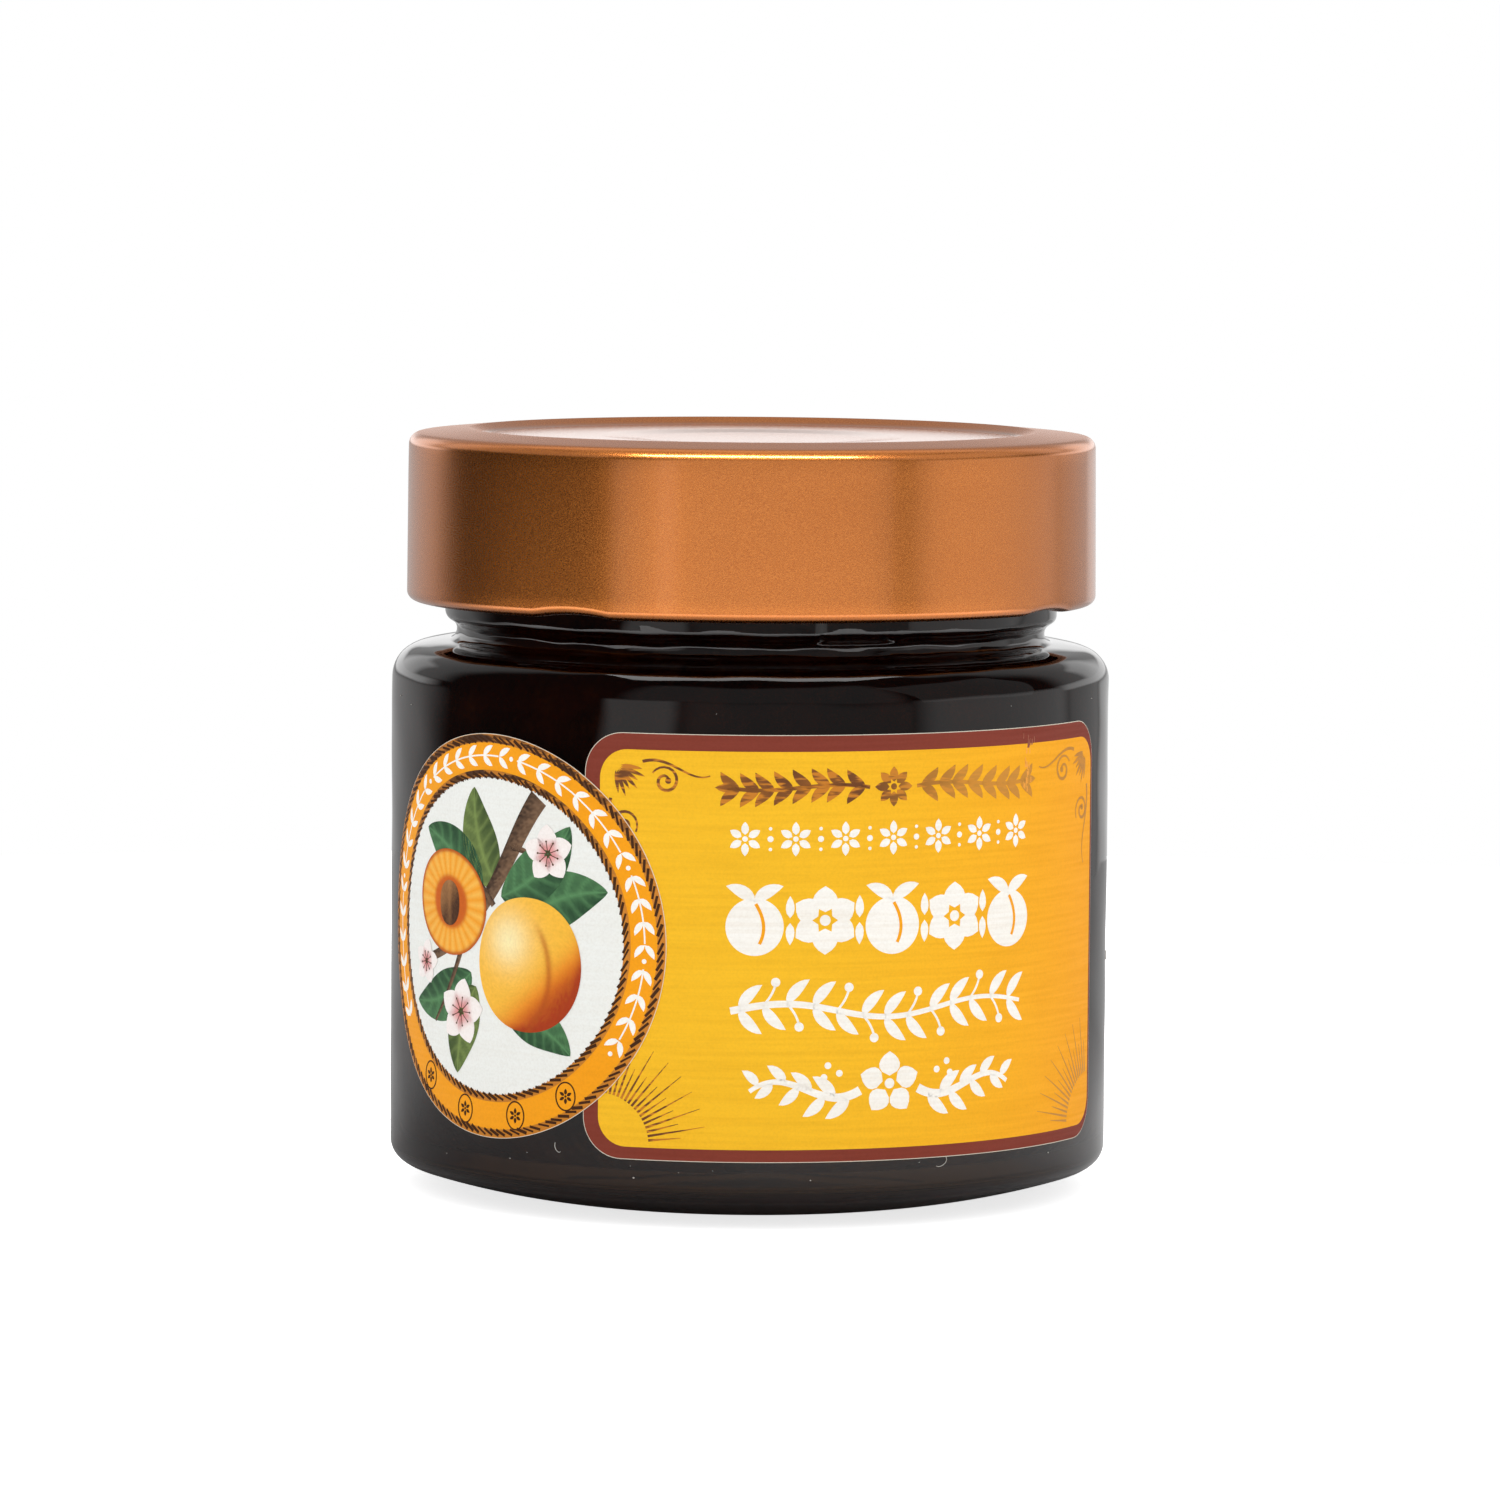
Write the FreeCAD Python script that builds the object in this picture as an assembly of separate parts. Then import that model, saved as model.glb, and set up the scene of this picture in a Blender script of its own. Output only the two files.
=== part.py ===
import FreeCAD, Part

import math
import os

# A squat round glass jar of jam, shut by a deep twist-off lid, with a wrapped
# front label and a round medallion label. Millimetres and degrees. The jar's
# axis is Z, it stands on z = 0, and the front of the label faces -Y.

# ---- Glass body ----
BODY_R = 37.85           # outside of the straight wall
BODY_WALL = 2.7
RING_WIDTH = 1.8         # flat ring that the jar stands on
HEEL_WIDTH = 12.1        # from the ring's outer edge out to the wall
HEEL_HEIGHT = 4.65       # where the heel runs into the straight wall
HEEL_CORNER_R = 2.2
HEEL_SWEEP_R = 68.0      # the flat arc under the heel
PUSH_UP = 2.2            # rise of the underside at the middle
BASE_THICK = 3.8         # glass at the middle of the base
FLOOR_FALL = 1.0         # the domed floor is lower at its edge
FLOOR_CORNER_R = 6.0
WALL_TOP = 53.8          # where the shoulder begins
SHOULDER_RISE = 3.9
SHOULDER_CORNER_R = 3.45
SHOULDER_SWEEP_R = 24.6  # the flat arc over the shoulder
SHOULDER_THICK = 2.9
SHOULDER_FALL = 1.0      # slope of the shoulder's underside
INNER_SHOULDER_R = 4.0
INNER_NECK_R = 2.5

# ---- Neck and finish ----
NECK_WALL = 2.45
NECK_FILLET = 1.0
NECK_HEIGHT = 1.6        # from the shoulder to the foot of the bead
FLARE_HEIGHT = 0.9       # the bead swells from the neck to the finish
FLARE_R = 0.9
FINISH_R = 32.3          # outside of the finish, under the lid
BEAD_OUT = 1.25          # the bead and finish stand this far out of the neck
BREAK_ARC = 17.0         # the bead is broken off over this arc
BREAK_ANGLE = -69.5      # the middle of the break, counted from +X
BREAK_HEIGHT = 3.2       # from the foot of the bead up
FINISH_HEIGHT = 20.8     # from the shoulder to the sealing rim
RIM_WALL = 2.7
RIM_OUTER_R = 1.2
RIM_INNER_R = 1.0
BORE_TAPER_LOW = 6.0     # the bore widens over this stretch of the finish
BORE_TAPER_HIGH = 10.0
LEAD_COUNT = 4
LEAD_OUT = 1.6           # how far a thread lead stands out of the finish
LEAD_HEIGHT = 2.0
LEAD_ARC = 50.0
LEAD_RAMP = 2.2          # slope of a lead
LEAD_ROUND = 0.6

# ---- Contents ----
HEADSPACE = 8.6          # from the jam's surface up to the sealing rim

# ---- Lid ----
SHEET = 0.18
SKIRT_GAP = 2.12         # between the leads and the inside of the skirt
LID_FLARE = 0.15         # the skirt is this much wider at the bottom
LID_CORNER_R = 1.4
LID_SKIRT = 17.6         # from the curl's bottom to the top corner
CREST_RISE = 0.5         # the rim of the top slopes up to a crest
CREST_OUT = 0.3          # the crest stands this far outside the rim's bore
CREST_BEND = 0.6
RECESS_DEPTH = 0.95      # the panel lies below the crest
RECESS_SLOPE = 0.7       # width of the recess's side
PANEL_BEND = 0.5
BUTTON_R = 13.0          # safety button, drawn down by the vacuum
BUTTON_STEP = 1.8
BUTTON_SINK = 0.45
BUTTON_BEND = 2.0
CURL_WIDTH = 1.95
CURL_BEND = 0.95
CURL_LIP = 1.2           # the curl's last turn, towards the skirt
LUG_ARC = 15.0
LUG_CLEAR = 0.5          # between a lug's tip and the finish
LUG_HEIGHT = 1.4
LUG_ROUND = 0.4
LUG_ANGLE = -120.7       # the first lug, counted from +X
LUG_GAP = 0.2            # between a lug and the lead over it
DIMPLE_RISE = 0.4        # the pressed lug lifts the curl's edge
DIMPLE_WIDTH = 9.0

# ---- Sealing compound ----
SEAL_IN_GAP = 0.5        # between the crest and the compound
SEAL_OUT_GAP = 0.2       # between the compound and the lid's corner bend
SEAL_THICK = 1.1
SEAL_BED = 0.35          # how deep the glass rim beds in it

# ---- Labels: places are arc lengths on the wall, right of the front ----
PAPER = 0.12
LABEL_LEFT = -17.3
LABEL_RIGHT = 46.2
LABEL_FOOT = 2.45        # from the heel up to the label
LABEL_DROP = 3.1         # from the shoulder down to the label
LABEL_CORNER_R = 4.2
MEDAL_INSET = 0.95       # the medallion is this much lower than the label, top and bottom
MEDAL_LAP = 8.95         # how far the medallion laps over the label
MEDAL_POINTS = 24
STEP_WIDTH = 0.5         # the raised lap starts this far before the label

# ---- Worked out from the sizes above ----
NECK_R = FINISH_R - BEAD_OUT
RING_OUT_R = BODY_R - HEEL_WIDTH
SHOULDER_TOP = WALL_TOP + SHOULDER_RISE
RIM_Z = SHOULDER_TOP + FINISH_HEIGHT
BORE_R = NECK_R - NECK_WALL
RIM_BORE_R = FINISH_R - RIM_WALL
JAM_Z = RIM_Z - HEADSPACE
SEAL_LOW = RIM_Z - SEAL_BED
CORNER_Z = SEAL_LOW + SEAL_THICK + SHEET
CURL_Z = CORNER_Z - LID_SKIRT
CREST_Z = CORNER_Z + CREST_RISE
PANEL_Z = CREST_Z - RECESS_DEPTH
LID_TOP_R = FINISH_R + LEAD_OUT + SKIRT_GAP + SHEET
CURL_R = LID_TOP_R + LID_FLARE
CREST_R = RIM_BORE_R + CREST_OUT
LUG_TIP_R = FINISH_R + LUG_CLEAR
LUG_TOP = CURL_Z + LUG_HEIGHT
SEAL_IN_R = CREST_R + SEAL_IN_GAP
SEAL_OUT_R = LID_TOP_R - LID_CORNER_R - SEAL_OUT_GAP
LABEL_LOW = HEEL_HEIGHT + LABEL_FOOT
LABEL_HIGH = WALL_TOP - LABEL_DROP
MEDAL_Z = (LABEL_LOW + LABEL_HIGH) / 2
MEDAL_R = (LABEL_HIGH - LABEL_LOW) / 2 - MEDAL_INSET
MEDAL_S = LABEL_LEFT + MEDAL_LAP - MEDAL_R
TURN = 360.0


def point(r, z):
    return FreeCAD.Vector(r, 0, z)


def line(a, b):
    return Part.LineSegment(point(*a), point(*b)).toShape()


def toward(centre, target, distance):
    """The point at a distance from centre, towards target."""
    k = distance / math.dist(centre, target)
    return (centre[0] + (target[0] - centre[0]) * k, centre[1] + (target[1] - centre[1]) * k)


def arc(centre, a, b):
    """The shorter arc about centre, from a to b."""
    chord_middle = ((a[0] + b[0]) / 2, (a[1] + b[1]) / 2)
    middle = toward(centre, chord_middle, math.dist(centre, a))
    return Part.Arc(point(*a), point(*middle), point(*b)).toShape()


def rounded(corners):
    """Edges of a path through corners (r, z, bend), each bend as an arc."""
    edges = []
    pen = corners[0][:2]
    for before, here, after in zip(corners, corners[1:], corners[2:]):
        vertex = here[:2]
        if not here[2]:
            edges.append(line(pen, vertex))
            pen = vertex
            continue
        a = (before[0] - vertex[0], before[1] - vertex[1])
        b = (after[0] - vertex[0], after[1] - vertex[1])
        cosine = (a[0] * b[0] + a[1] * b[1]) / (math.hypot(*a) * math.hypot(*b))
        half = math.acos(cosine) / 2
        start = toward(vertex, before[:2], here[2] / math.tan(half))
        end = toward(vertex, after[:2], here[2] / math.tan(half))
        middle = ((start[0] + end[0]) / 2, (start[1] + end[1]) / 2)
        centre = toward(vertex, middle, here[2] / math.sin(half))
        if math.dist(pen, start) > 1e-6:
            edges.append(line(pen, start))
        edges.append(arc(centre, start, end))
        pen = end
    edges.append(line(pen, corners[-1][:2]))
    return edges


def turned(edges, start=0.0, angle=TURN):
    """Solid turned about Z from a closed outline in the XZ plane."""
    face = Part.Face(Part.Wire(Part.__sortEdges__(edges)))
    face.rotate(point(0, 0), point(0, 1), start)
    return face.revolve(point(0, 0), point(0, 1), angle)


def sweep_centre(foot, corner, corner_r, sweep_r, side):
    """Centre of the flat arc from foot that runs smoothly into a corner arc.

    The corner arc has centre corner. side is 1 where the sweep's centre lies
    left of the way from foot to corner, and -1 where it lies right of it.
    """
    gap = math.dist(foot, corner)
    along = (sweep_r ** 2 - (sweep_r - corner_r) ** 2 + gap ** 2) / (2 * gap)
    across = side * math.sqrt(sweep_r ** 2 - along ** 2)
    ur = (corner[0] - foot[0]) / gap
    uz = (corner[1] - foot[1]) / gap
    return (foot[0] + along * ur - across * uz, foot[1] + along * uz + across * ur)


def heel_edges():
    """Underside and heel, from the axis out to the straight wall."""
    ring_in = (RING_OUT_R - RING_WIDTH, 0)
    ring_out = (RING_OUT_R, 0)
    dome_r = (ring_in[0] ** 2 + PUSH_UP ** 2) / (2 * PUSH_UP)
    corner = (BODY_R - HEEL_CORNER_R, HEEL_HEIGHT)
    sweep = sweep_centre(ring_out, corner, HEEL_CORNER_R, HEEL_SWEEP_R, 1)
    meet = toward(sweep, corner, HEEL_SWEEP_R)
    return [
        arc((0, PUSH_UP - dome_r), (0, PUSH_UP), ring_in),
        line(ring_in, ring_out),
        arc(sweep, ring_out, meet),
        arc(corner, meet, (BODY_R, HEEL_HEIGHT)),
    ]


def shoulder_edges():
    """Shoulder from the straight wall in to the neck, with the neck's fillet."""
    corner = (BODY_R - SHOULDER_CORNER_R, WALL_TOP)
    foot = (NECK_R, SHOULDER_TOP)
    sweep = sweep_centre(foot, corner, SHOULDER_CORNER_R, SHOULDER_SWEEP_R, -1)
    meet = toward(sweep, corner, SHOULDER_SWEEP_R)
    fillet_r = NECK_R + NECK_FILLET
    reach = SHOULDER_SWEEP_R + NECK_FILLET
    fillet = (fillet_r, sweep[1] + math.sqrt(reach ** 2 - (fillet_r - sweep[0]) ** 2))
    touch = toward(sweep, fillet, SHOULDER_SWEEP_R)
    neck = (NECK_R, fillet[1])
    edges = [
        line((BODY_R, HEEL_HEIGHT), (BODY_R, WALL_TOP)),
        arc(corner, (BODY_R, WALL_TOP), meet),
        arc(sweep, meet, touch),
        arc(fillet, touch, neck),
    ]
    return edges, neck


def jar_outside():
    """The jar as a full body: heel, wall, shoulder, neck, bead and finish."""
    shoulder, neck = shoulder_edges()
    bead_z = SHOULDER_TOP + NECK_HEIGHT
    finish = rounded([
        neck,
        (NECK_R, bead_z, FLARE_R),
        (FINISH_R, bead_z + FLARE_HEIGHT, FLARE_R),
        (FINISH_R, RIM_Z, RIM_OUTER_R),
        (RIM_BORE_R, RIM_Z, RIM_INNER_R),
        (RIM_BORE_R, RIM_Z - 2 * RIM_INNER_R),
    ])
    low = (RIM_BORE_R, RIM_Z - 2 * RIM_INNER_R)
    core = [line(low, (0, low[1])), line((0, low[1]), (0, PUSH_UP))]
    return turned(heel_edges() + shoulder + finish + core)


def jar_cavity():
    """The hollow inside the jar, open past the rim."""
    floor = PUSH_UP + BASE_THICK
    wall_r = BODY_R - BODY_WALL
    under_shoulder = SHOULDER_TOP - SHOULDER_THICK
    return turned(rounded([
        (0, floor),
        (wall_r / 2, floor, 0),
        (wall_r, floor - FLOOR_FALL, FLOOR_CORNER_R),
        (wall_r, under_shoulder - SHOULDER_FALL, INNER_SHOULDER_R),
        (BORE_R, under_shoulder, INNER_NECK_R),
        (BORE_R, SHOULDER_TOP + BORE_TAPER_LOW, 0),
        (RIM_BORE_R, SHOULDER_TOP + BORE_TAPER_HIGH, 0),
        (RIM_BORE_R, RIM_Z + RIM_WALL, 0),
        (0, RIM_Z + RIM_WALL, 0),
        (0, floor),
    ]))


def thread_lead(angle):
    """One lead of the finish: an arc of ridge that climbs anticlockwise."""
    low = LUG_TOP + LUG_GAP
    out = FINISH_R + LEAD_OUT
    root = FINISH_R - LEAD_OUT / 2
    ridge = turned(rounded([
        (root, low),
        (out, low, LEAD_ROUND),
        (out, low + LEAD_HEIGHT, LEAD_ROUND),
        (root, low + LEAD_HEIGHT, 0),
        (root, low),
    ]), -LEAD_ARC / 2, LEAD_ARC)
    ridge.rotate(point(0, low), FreeCAD.Vector(1, 0, 0), LEAD_RAMP)
    ridge.rotate(point(0, 0), point(0, 1), angle)
    return ridge


def lug_angles():
    return [LUG_ANGLE + TURN / LEAD_COUNT * i for i in range(LEAD_COUNT)]


def bead_break():
    """What the mould leaves out of the bead: an arc of it, back to the neck."""
    low = SHOULDER_TOP + NECK_HEIGHT - FLARE_R
    high = SHOULDER_TOP + NECK_HEIGHT + BREAK_HEIGHT
    out = FINISH_R + LEAD_OUT
    return turned(rounded([
        (NECK_R, low),
        (out, low, 0),
        (out, high, 0),
        (NECK_R, high, 0),
        (NECK_R, low),
    ]), BREAK_ANGLE - BREAK_ARC / 2, BREAK_ARC)


def glass_jar(cavity):
    shape = jar_outside().cut(bead_break())
    for angle in lug_angles():
        shape = shape.fuse(thread_lead(angle))
    return shape.cut(cavity).removeSplitter()


def jam(cavity):
    """The contents, up to a level surface in the neck."""
    below = Part.makeCylinder(BODY_R, JAM_Z)
    return cavity.common(below)


def leg_ways(corners):
    """The unit way of each leg of a path."""
    ways = []
    for a, b in zip(corners, corners[1:]):
        length = math.dist(a[:2], b[:2])
        ways.append(((b[0] - a[0]) / length, (b[1] - a[1]) / length))
    return ways


def offset_right(corners, distance):
    """The same path moved to its right, with each bend kept about its centre."""
    ways = leg_ways(corners)
    moved = []
    for (r, z, bend), before, after in zip(corners, ways[:1] + ways, ways + ways[-1:]):
        normal = (before[1] + after[1], -before[0] - after[0])
        scale = 2 * distance / (normal[0] ** 2 + normal[1] ** 2)
        turns_right = before[0] * after[1] < before[1] * after[0]
        if bend:
            bend += -distance if turns_right else distance
        moved.append((r + normal[0] * scale, z + normal[1] * scale, bend))
    return moved


def lid_shell():
    """Drawn sheet: button, panel, crest, skirt and the rolled curl."""
    outer = [
        (0, PANEL_Z - BUTTON_SINK, 0),
        (BUTTON_R, PANEL_Z - BUTTON_SINK, BUTTON_BEND),
        (BUTTON_R + BUTTON_STEP, PANEL_Z, BUTTON_BEND),
        (CREST_R - RECESS_SLOPE, PANEL_Z, PANEL_BEND),
        (CREST_R, CREST_Z, CREST_BEND),
        (LID_TOP_R, CORNER_Z, LID_CORNER_R),
        (CURL_R, CURL_Z, CURL_BEND),
        (CURL_R - CURL_WIDTH, CURL_Z, CURL_BEND),
        (CURL_R - CURL_WIDTH, CURL_Z + CURL_WIDTH, CURL_BEND),
        (CURL_R - CURL_WIDTH + CURL_LIP, CURL_Z + CURL_WIDTH, 0),
    ]
    inner = offset_right(outer, SHEET)
    ends = [line(outer[0][:2], inner[0][:2]), line(outer[-1][:2], inner[-1][:2])]
    return turned(rounded(outer) + rounded(inner) + ends)


def lug(angle):
    """The curl pressed flat and in, to catch under a thread lead."""
    root = CURL_R - SHEET / 2
    return turned(rounded([
        (root, CURL_Z + SHEET),
        (LUG_TIP_R, CURL_Z + SHEET, LUG_ROUND),
        (LUG_TIP_R, LUG_TOP, LUG_ROUND),
        (root, LUG_TOP, 0),
        (root, CURL_Z + SHEET),
    ]), angle - LUG_ARC / 2, LUG_ARC)


def dimple(angle):
    """What pressing a lug takes off the edge of the curl."""
    radius = ((DIMPLE_WIDTH / 2) ** 2 + DIMPLE_RISE ** 2) / (2 * DIMPLE_RISE)
    start = FreeCAD.Vector(CURL_R - CURL_WIDTH, 0, CURL_Z + DIMPLE_RISE - radius)
    tool = Part.makeCylinder(radius, 2 * CURL_WIDTH, start, FreeCAD.Vector(1, 0, 0))
    tool.rotate(point(0, 0), point(0, 1), angle)
    return tool


def lid():
    shape = lid_shell()
    for angle in lug_angles():
        shape = shape.fuse(lug(angle)).cut(dimple(angle))
    return shape.removeSplitter()


def lid_seal(glass):
    """Compound in the channel under the lid, with the rim's groove in it."""
    slope = CREST_RISE / (LID_TOP_R - CREST_R)
    drop = SHEET * math.hypot(1, slope)
    top_in = CORNER_Z + (LID_TOP_R - SEAL_IN_R) * slope - drop
    top_out = CORNER_Z + (LID_TOP_R - SEAL_OUT_R) * slope - drop
    ring = turned(rounded([
        (SEAL_IN_R, SEAL_LOW),
        (SEAL_OUT_R, SEAL_LOW, 0),
        (SEAL_OUT_R, top_out, 0),
        (SEAL_IN_R, top_in, 0),
        (SEAL_IN_R, SEAL_LOW),
    ]))
    return ring.cut(glass)


def wall_angle(s):
    """Angle from +X of a place s along the wall, right of the front."""
    return math.degrees(s / BODY_R) - TURN / 4


def sleeve(inner_r, left, right, low, high):
    """A thin plate of paper wrapped on the wall between two arc places."""
    outer_r = inner_r + PAPER
    start = wall_angle(left)
    return turned(rounded([
        (inner_r, low),
        (outer_r, low, 0),
        (outer_r, high, 0),
        (inner_r, high, 0),
        (inner_r, low),
    ]), start, wall_angle(right) - start)


def corner_waste(s, z, right, up):
    """What rounding takes off a label's corner; right and up are 1 or -1."""
    radius = LABEL_CORNER_R
    depth = 4 * PAPER
    start = FreeCAD.Vector(0, depth - BODY_R, z - up * radius)
    block = Part.makeBox(2 * radius, 2 * depth, 2 * radius)
    block.translate(start + FreeCAD.Vector(min(0, 2 * right * radius), -2 * depth, min(0, 2 * up * radius)))
    disc = Part.makeCylinder(radius, 2 * depth, start, FreeCAD.Vector(0, -1, 0))
    waste = block.cut(disc)
    waste.rotate(point(0, 0), point(0, 1), math.degrees((s - right * radius) / BODY_R))
    return waste


def main_label():
    plate = sleeve(BODY_R, LABEL_LEFT, LABEL_RIGHT, LABEL_LOW, LABEL_HIGH)
    for s, right in ((LABEL_LEFT, -1), (LABEL_RIGHT, 1)):
        for z, up in ((LABEL_LOW, -1), (LABEL_HIGH, 1)):
            plate = plate.cut(corner_waste(s, z, right, up))
    return plate


def medal_prism():
    """A prism through the wall whose cut, laid flat, is a true circle."""
    ring = []
    for i in range(MEDAL_POINTS):
        turn = math.tau * i / MEDAL_POINTS
        across = BODY_R * math.sin(MEDAL_R * math.cos(turn) / BODY_R)
        ring.append(point(across, MEDAL_Z + MEDAL_R * math.sin(turn)))
    curve = Part.BSplineCurve()
    curve.interpolate(Points=ring, PeriodicFlag=True)
    face = Part.Face(Part.Wire(curve.toShape()))
    prism = face.extrude(FreeCAD.Vector(0, -2 * BODY_R, 0))
    prism.rotate(point(0, 0), point(0, 1), math.degrees(MEDAL_S / BODY_R))
    return prism


def medallion_label(label):
    """Round label on the glass, lapping over the edge of the main label."""
    prism = medal_prism()
    left = MEDAL_S - MEDAL_R
    right = MEDAL_S + MEDAL_R
    low = MEDAL_Z - MEDAL_R
    high = MEDAL_Z + MEDAL_R
    margin = PAPER
    on_glass = sleeve(BODY_R, left - margin, right + margin, low - margin, high + margin)
    on_label = sleeve(BODY_R + PAPER, LABEL_LEFT - STEP_WIDTH, right + margin, low - margin, high + margin)
    lower = on_glass.common(prism).cut(label)
    upper = on_label.common(prism)
    return lower.fuse(upper).removeSplitter()


def main():
    os.makedirs("parts", exist_ok=True)
    cavity = jar_cavity()
    glass = glass_jar(cavity)
    label = main_label()
    parts = {
        "glass_jar": glass,
        "jam": jam(cavity),
        "lid": lid(),
        "lid_seal": lid_seal(glass),
        "main_label": label,
        "medallion_label": medallion_label(label),
    }
    for name, shape in parts.items():
        print(name, shape.ShapeType, len(shape.Solids), shape.isValid(), round(shape.Volume, 1))
        shape.exportStep("parts/" + name + ".step")


main()
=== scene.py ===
"""Looks of a squat dark-glass jar of apricot jam: satin twist-off lid, wrapped label, round medallion.

Shapes are worked out in millimetres on numpy grids and put into meshes in metres. A place on the
labels is (s, z): s is the arc length along the wall, right of the front, and z the height.
"""

from __future__ import annotations

import logging
import math
from collections.abc import Callable, Sequence
from dataclasses import dataclass, field
from enum import Enum

import bpy
import numpy as np
from mathutils import Matrix, Vector


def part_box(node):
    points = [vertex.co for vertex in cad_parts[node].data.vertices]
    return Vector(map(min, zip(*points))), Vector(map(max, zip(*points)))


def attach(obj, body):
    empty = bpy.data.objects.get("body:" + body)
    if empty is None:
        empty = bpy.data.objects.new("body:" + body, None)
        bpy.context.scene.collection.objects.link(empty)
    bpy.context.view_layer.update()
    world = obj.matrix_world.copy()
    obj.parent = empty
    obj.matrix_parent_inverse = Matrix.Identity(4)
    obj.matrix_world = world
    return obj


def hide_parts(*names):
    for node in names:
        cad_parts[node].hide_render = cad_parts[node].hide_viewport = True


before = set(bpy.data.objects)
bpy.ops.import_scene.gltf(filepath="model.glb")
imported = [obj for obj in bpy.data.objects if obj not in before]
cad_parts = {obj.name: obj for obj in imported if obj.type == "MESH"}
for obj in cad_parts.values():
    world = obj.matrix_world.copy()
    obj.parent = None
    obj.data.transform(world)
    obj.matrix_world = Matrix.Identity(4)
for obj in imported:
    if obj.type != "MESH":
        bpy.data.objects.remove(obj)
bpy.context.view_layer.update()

LOG = logging.getLogger("jam_jar")
MM = 0.001
BODY = "root"
PAPER = 0.12
SHARP = math.radians(55)
Array = np.ndarray
Socket = bpy.types.NodeSocket
Colour = tuple[float, float, float]
Pair = tuple[float, float]
Paint = Callable[[Array, Array], Array]
Shift = Callable[[Array, Array, Array], tuple[Array, Array]]


# ---------------------------------------------------------------- colours and small formulas


def linear(red: float, green: float, blue: float) -> Colour:
    """The linear colour of an sRGB one given in 0..255."""
    value = np.array([red, green, blue]) / 255
    high = ((value + 0.055) / 1.055) ** 2.4
    return tuple(float(v) for v in np.where(value <= 0.04045, value / 12.92, high))


class Ink(Enum):
    """The printed colours."""

    MAROON = linear(133, 58, 44)
    YELLOW = linear(250, 193, 36)
    AMBER = linear(250, 168, 20)
    ORANGE = linear(250, 163, 12)
    WHITE = linear(252, 250, 244)
    CREAM = linear(228, 220, 203)
    ROSE = linear(158, 92, 74)
    PEACH = linear(250, 172, 72)
    CARD = linear(240, 242, 238)
    BRONZE = linear(196, 112, 10)
    UMBER = linear(70, 38, 8)
    TWIG = linear(92, 66, 46)


def ease(value: Array, low: float, high: float) -> Array:
    """Smooth step: 0 below low, 1 above high, and 3t^2 - 2t^3 between them."""
    t = np.clip((np.asarray(value, float) - low) / (high - low), 0, 1)
    return t * t * (3 - 2 * t)


def fading(value: Array, span: Pair) -> Array:
    """Smooth step down: 1 below the span and 0 above it."""
    return ease(-value, -span[1], -span[0])


def blend(first: Colour | Array, second: Colour | Array, share: Array) -> Array:
    """Colours between first and second, at share 0..1."""
    share = np.asarray(share)[..., None]
    return np.asarray(first) * (1 - share) + np.asarray(second) * share


def polar(angle: float, reach: float = 1.0) -> Array:
    """The step of a given reach at an angle in degrees."""
    turn = math.radians(angle)
    return reach * np.array([math.cos(turn), math.sin(turn)])


def apart(degrees: Array, start: float) -> Array:
    """The angle from start, in -180..180."""
    return (degrees - start + 180) % 360 - 180


def swell(angle: Array, z: Array, *terms: tuple[float, float, float, float]) -> Array:
    """The sum of share * sin(count * angle + pitch * z + phase) over the terms."""
    return sum(share * np.sin(count * angle + pitch * z + phase) for share, count, pitch, phase in terms)


# ---------------------------------------------------------------- shapes as arrays


@dataclass
class Shape:
    """Points in millimetres, blocks of faces with 3, 4 or more corners, and a colour at each point."""

    points: Array
    faces: list[Array]
    colours: Array | None = None

    def volume(self) -> float:
        """Signed volume: the sum over a fan of triangles of a . (b x c) / 6."""
        total = 0.0
        for block in self.faces:
            first = self.points[block[:, 0]]
            for k in range(1, block.shape[1] - 1):
                cross = np.cross(self.points[block[:, k]], self.points[block[:, k + 1]])
                total += float((first * cross).sum()) / 6
        return total

    def outward(self) -> Shape:
        """The same shape with its faces turned outwards."""
        if self.volume() < 0:
            self.faces = [block[:, ::-1] for block in self.faces]
        return self

    def piece(self, name: str, material: bpy.types.Material) -> bpy.types.Object:
        """Puts the shape into the scene at the origin, as a mesh in metres.

        Args:
            name: name of the new object.
            material: its finish.

        Returns:
            The object.
        """
        mesh = bpy.data.meshes.new(name)
        polygons = [corner for block in self.faces for corner in block.tolist()]
        mesh.from_pydata((self.points * MM).tolist(), [], polygons)
        mesh.polygons.foreach_set("use_smooth", np.ones(len(mesh.polygons), bool))
        mesh.set_sharp_from_angle(angle=SHARP)
        if self.colours is not None:
            rgba = np.ones((len(self.points), 4), np.float32)
            rgba[:, :3] = self.colours
            mesh.color_attributes.new("ink", "FLOAT_COLOR", "POINT").data.foreach_set("color", rgba.ravel())
        mesh.materials.append(material)
        piece = bpy.data.objects.new(name, mesh)
        bpy.context.scene.collection.objects.link(piece)
        return piece


def joined(shapes: Sequence[Shape]) -> Shape:
    """Several coloured shapes as one, each turned outwards first."""
    faces: list[Array] = []
    count = 0
    for shape in shapes:
        faces += [block + count for block in shape.outward().faces]
        count += len(shape.points)
    points, colours = ([getattr(shape, name) for shape in shapes] for name in ("points", "colours"))
    return Shape(np.concatenate(points), faces, np.concatenate(colours))


def loop_faces(rows: int, columns: int, rows_close: bool) -> Array:
    """Quads of a grid whose columns close on themselves, and whose rows may."""
    row = np.arange(rows if rows_close else rows - 1)[:, None] * columns
    above = (row + columns) % (rows * columns)
    column = np.arange(columns)
    beside = (column + 1) % columns
    return np.stack([row + column, row + beside, above + beside, above + column], axis=-1).reshape(-1, 4)


def fans(count: int, last: int, pole: int) -> list[Array]:
    """Triangles from one pole to the first ring, and from the next pole to the ring at last."""
    ring = np.arange(count)
    after = (ring + 1) % count
    return [np.stack([np.full(count, pole), after, ring], axis=-1),
            np.stack([np.full(count, pole + 1), last + ring, last + after], axis=-1)]


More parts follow.
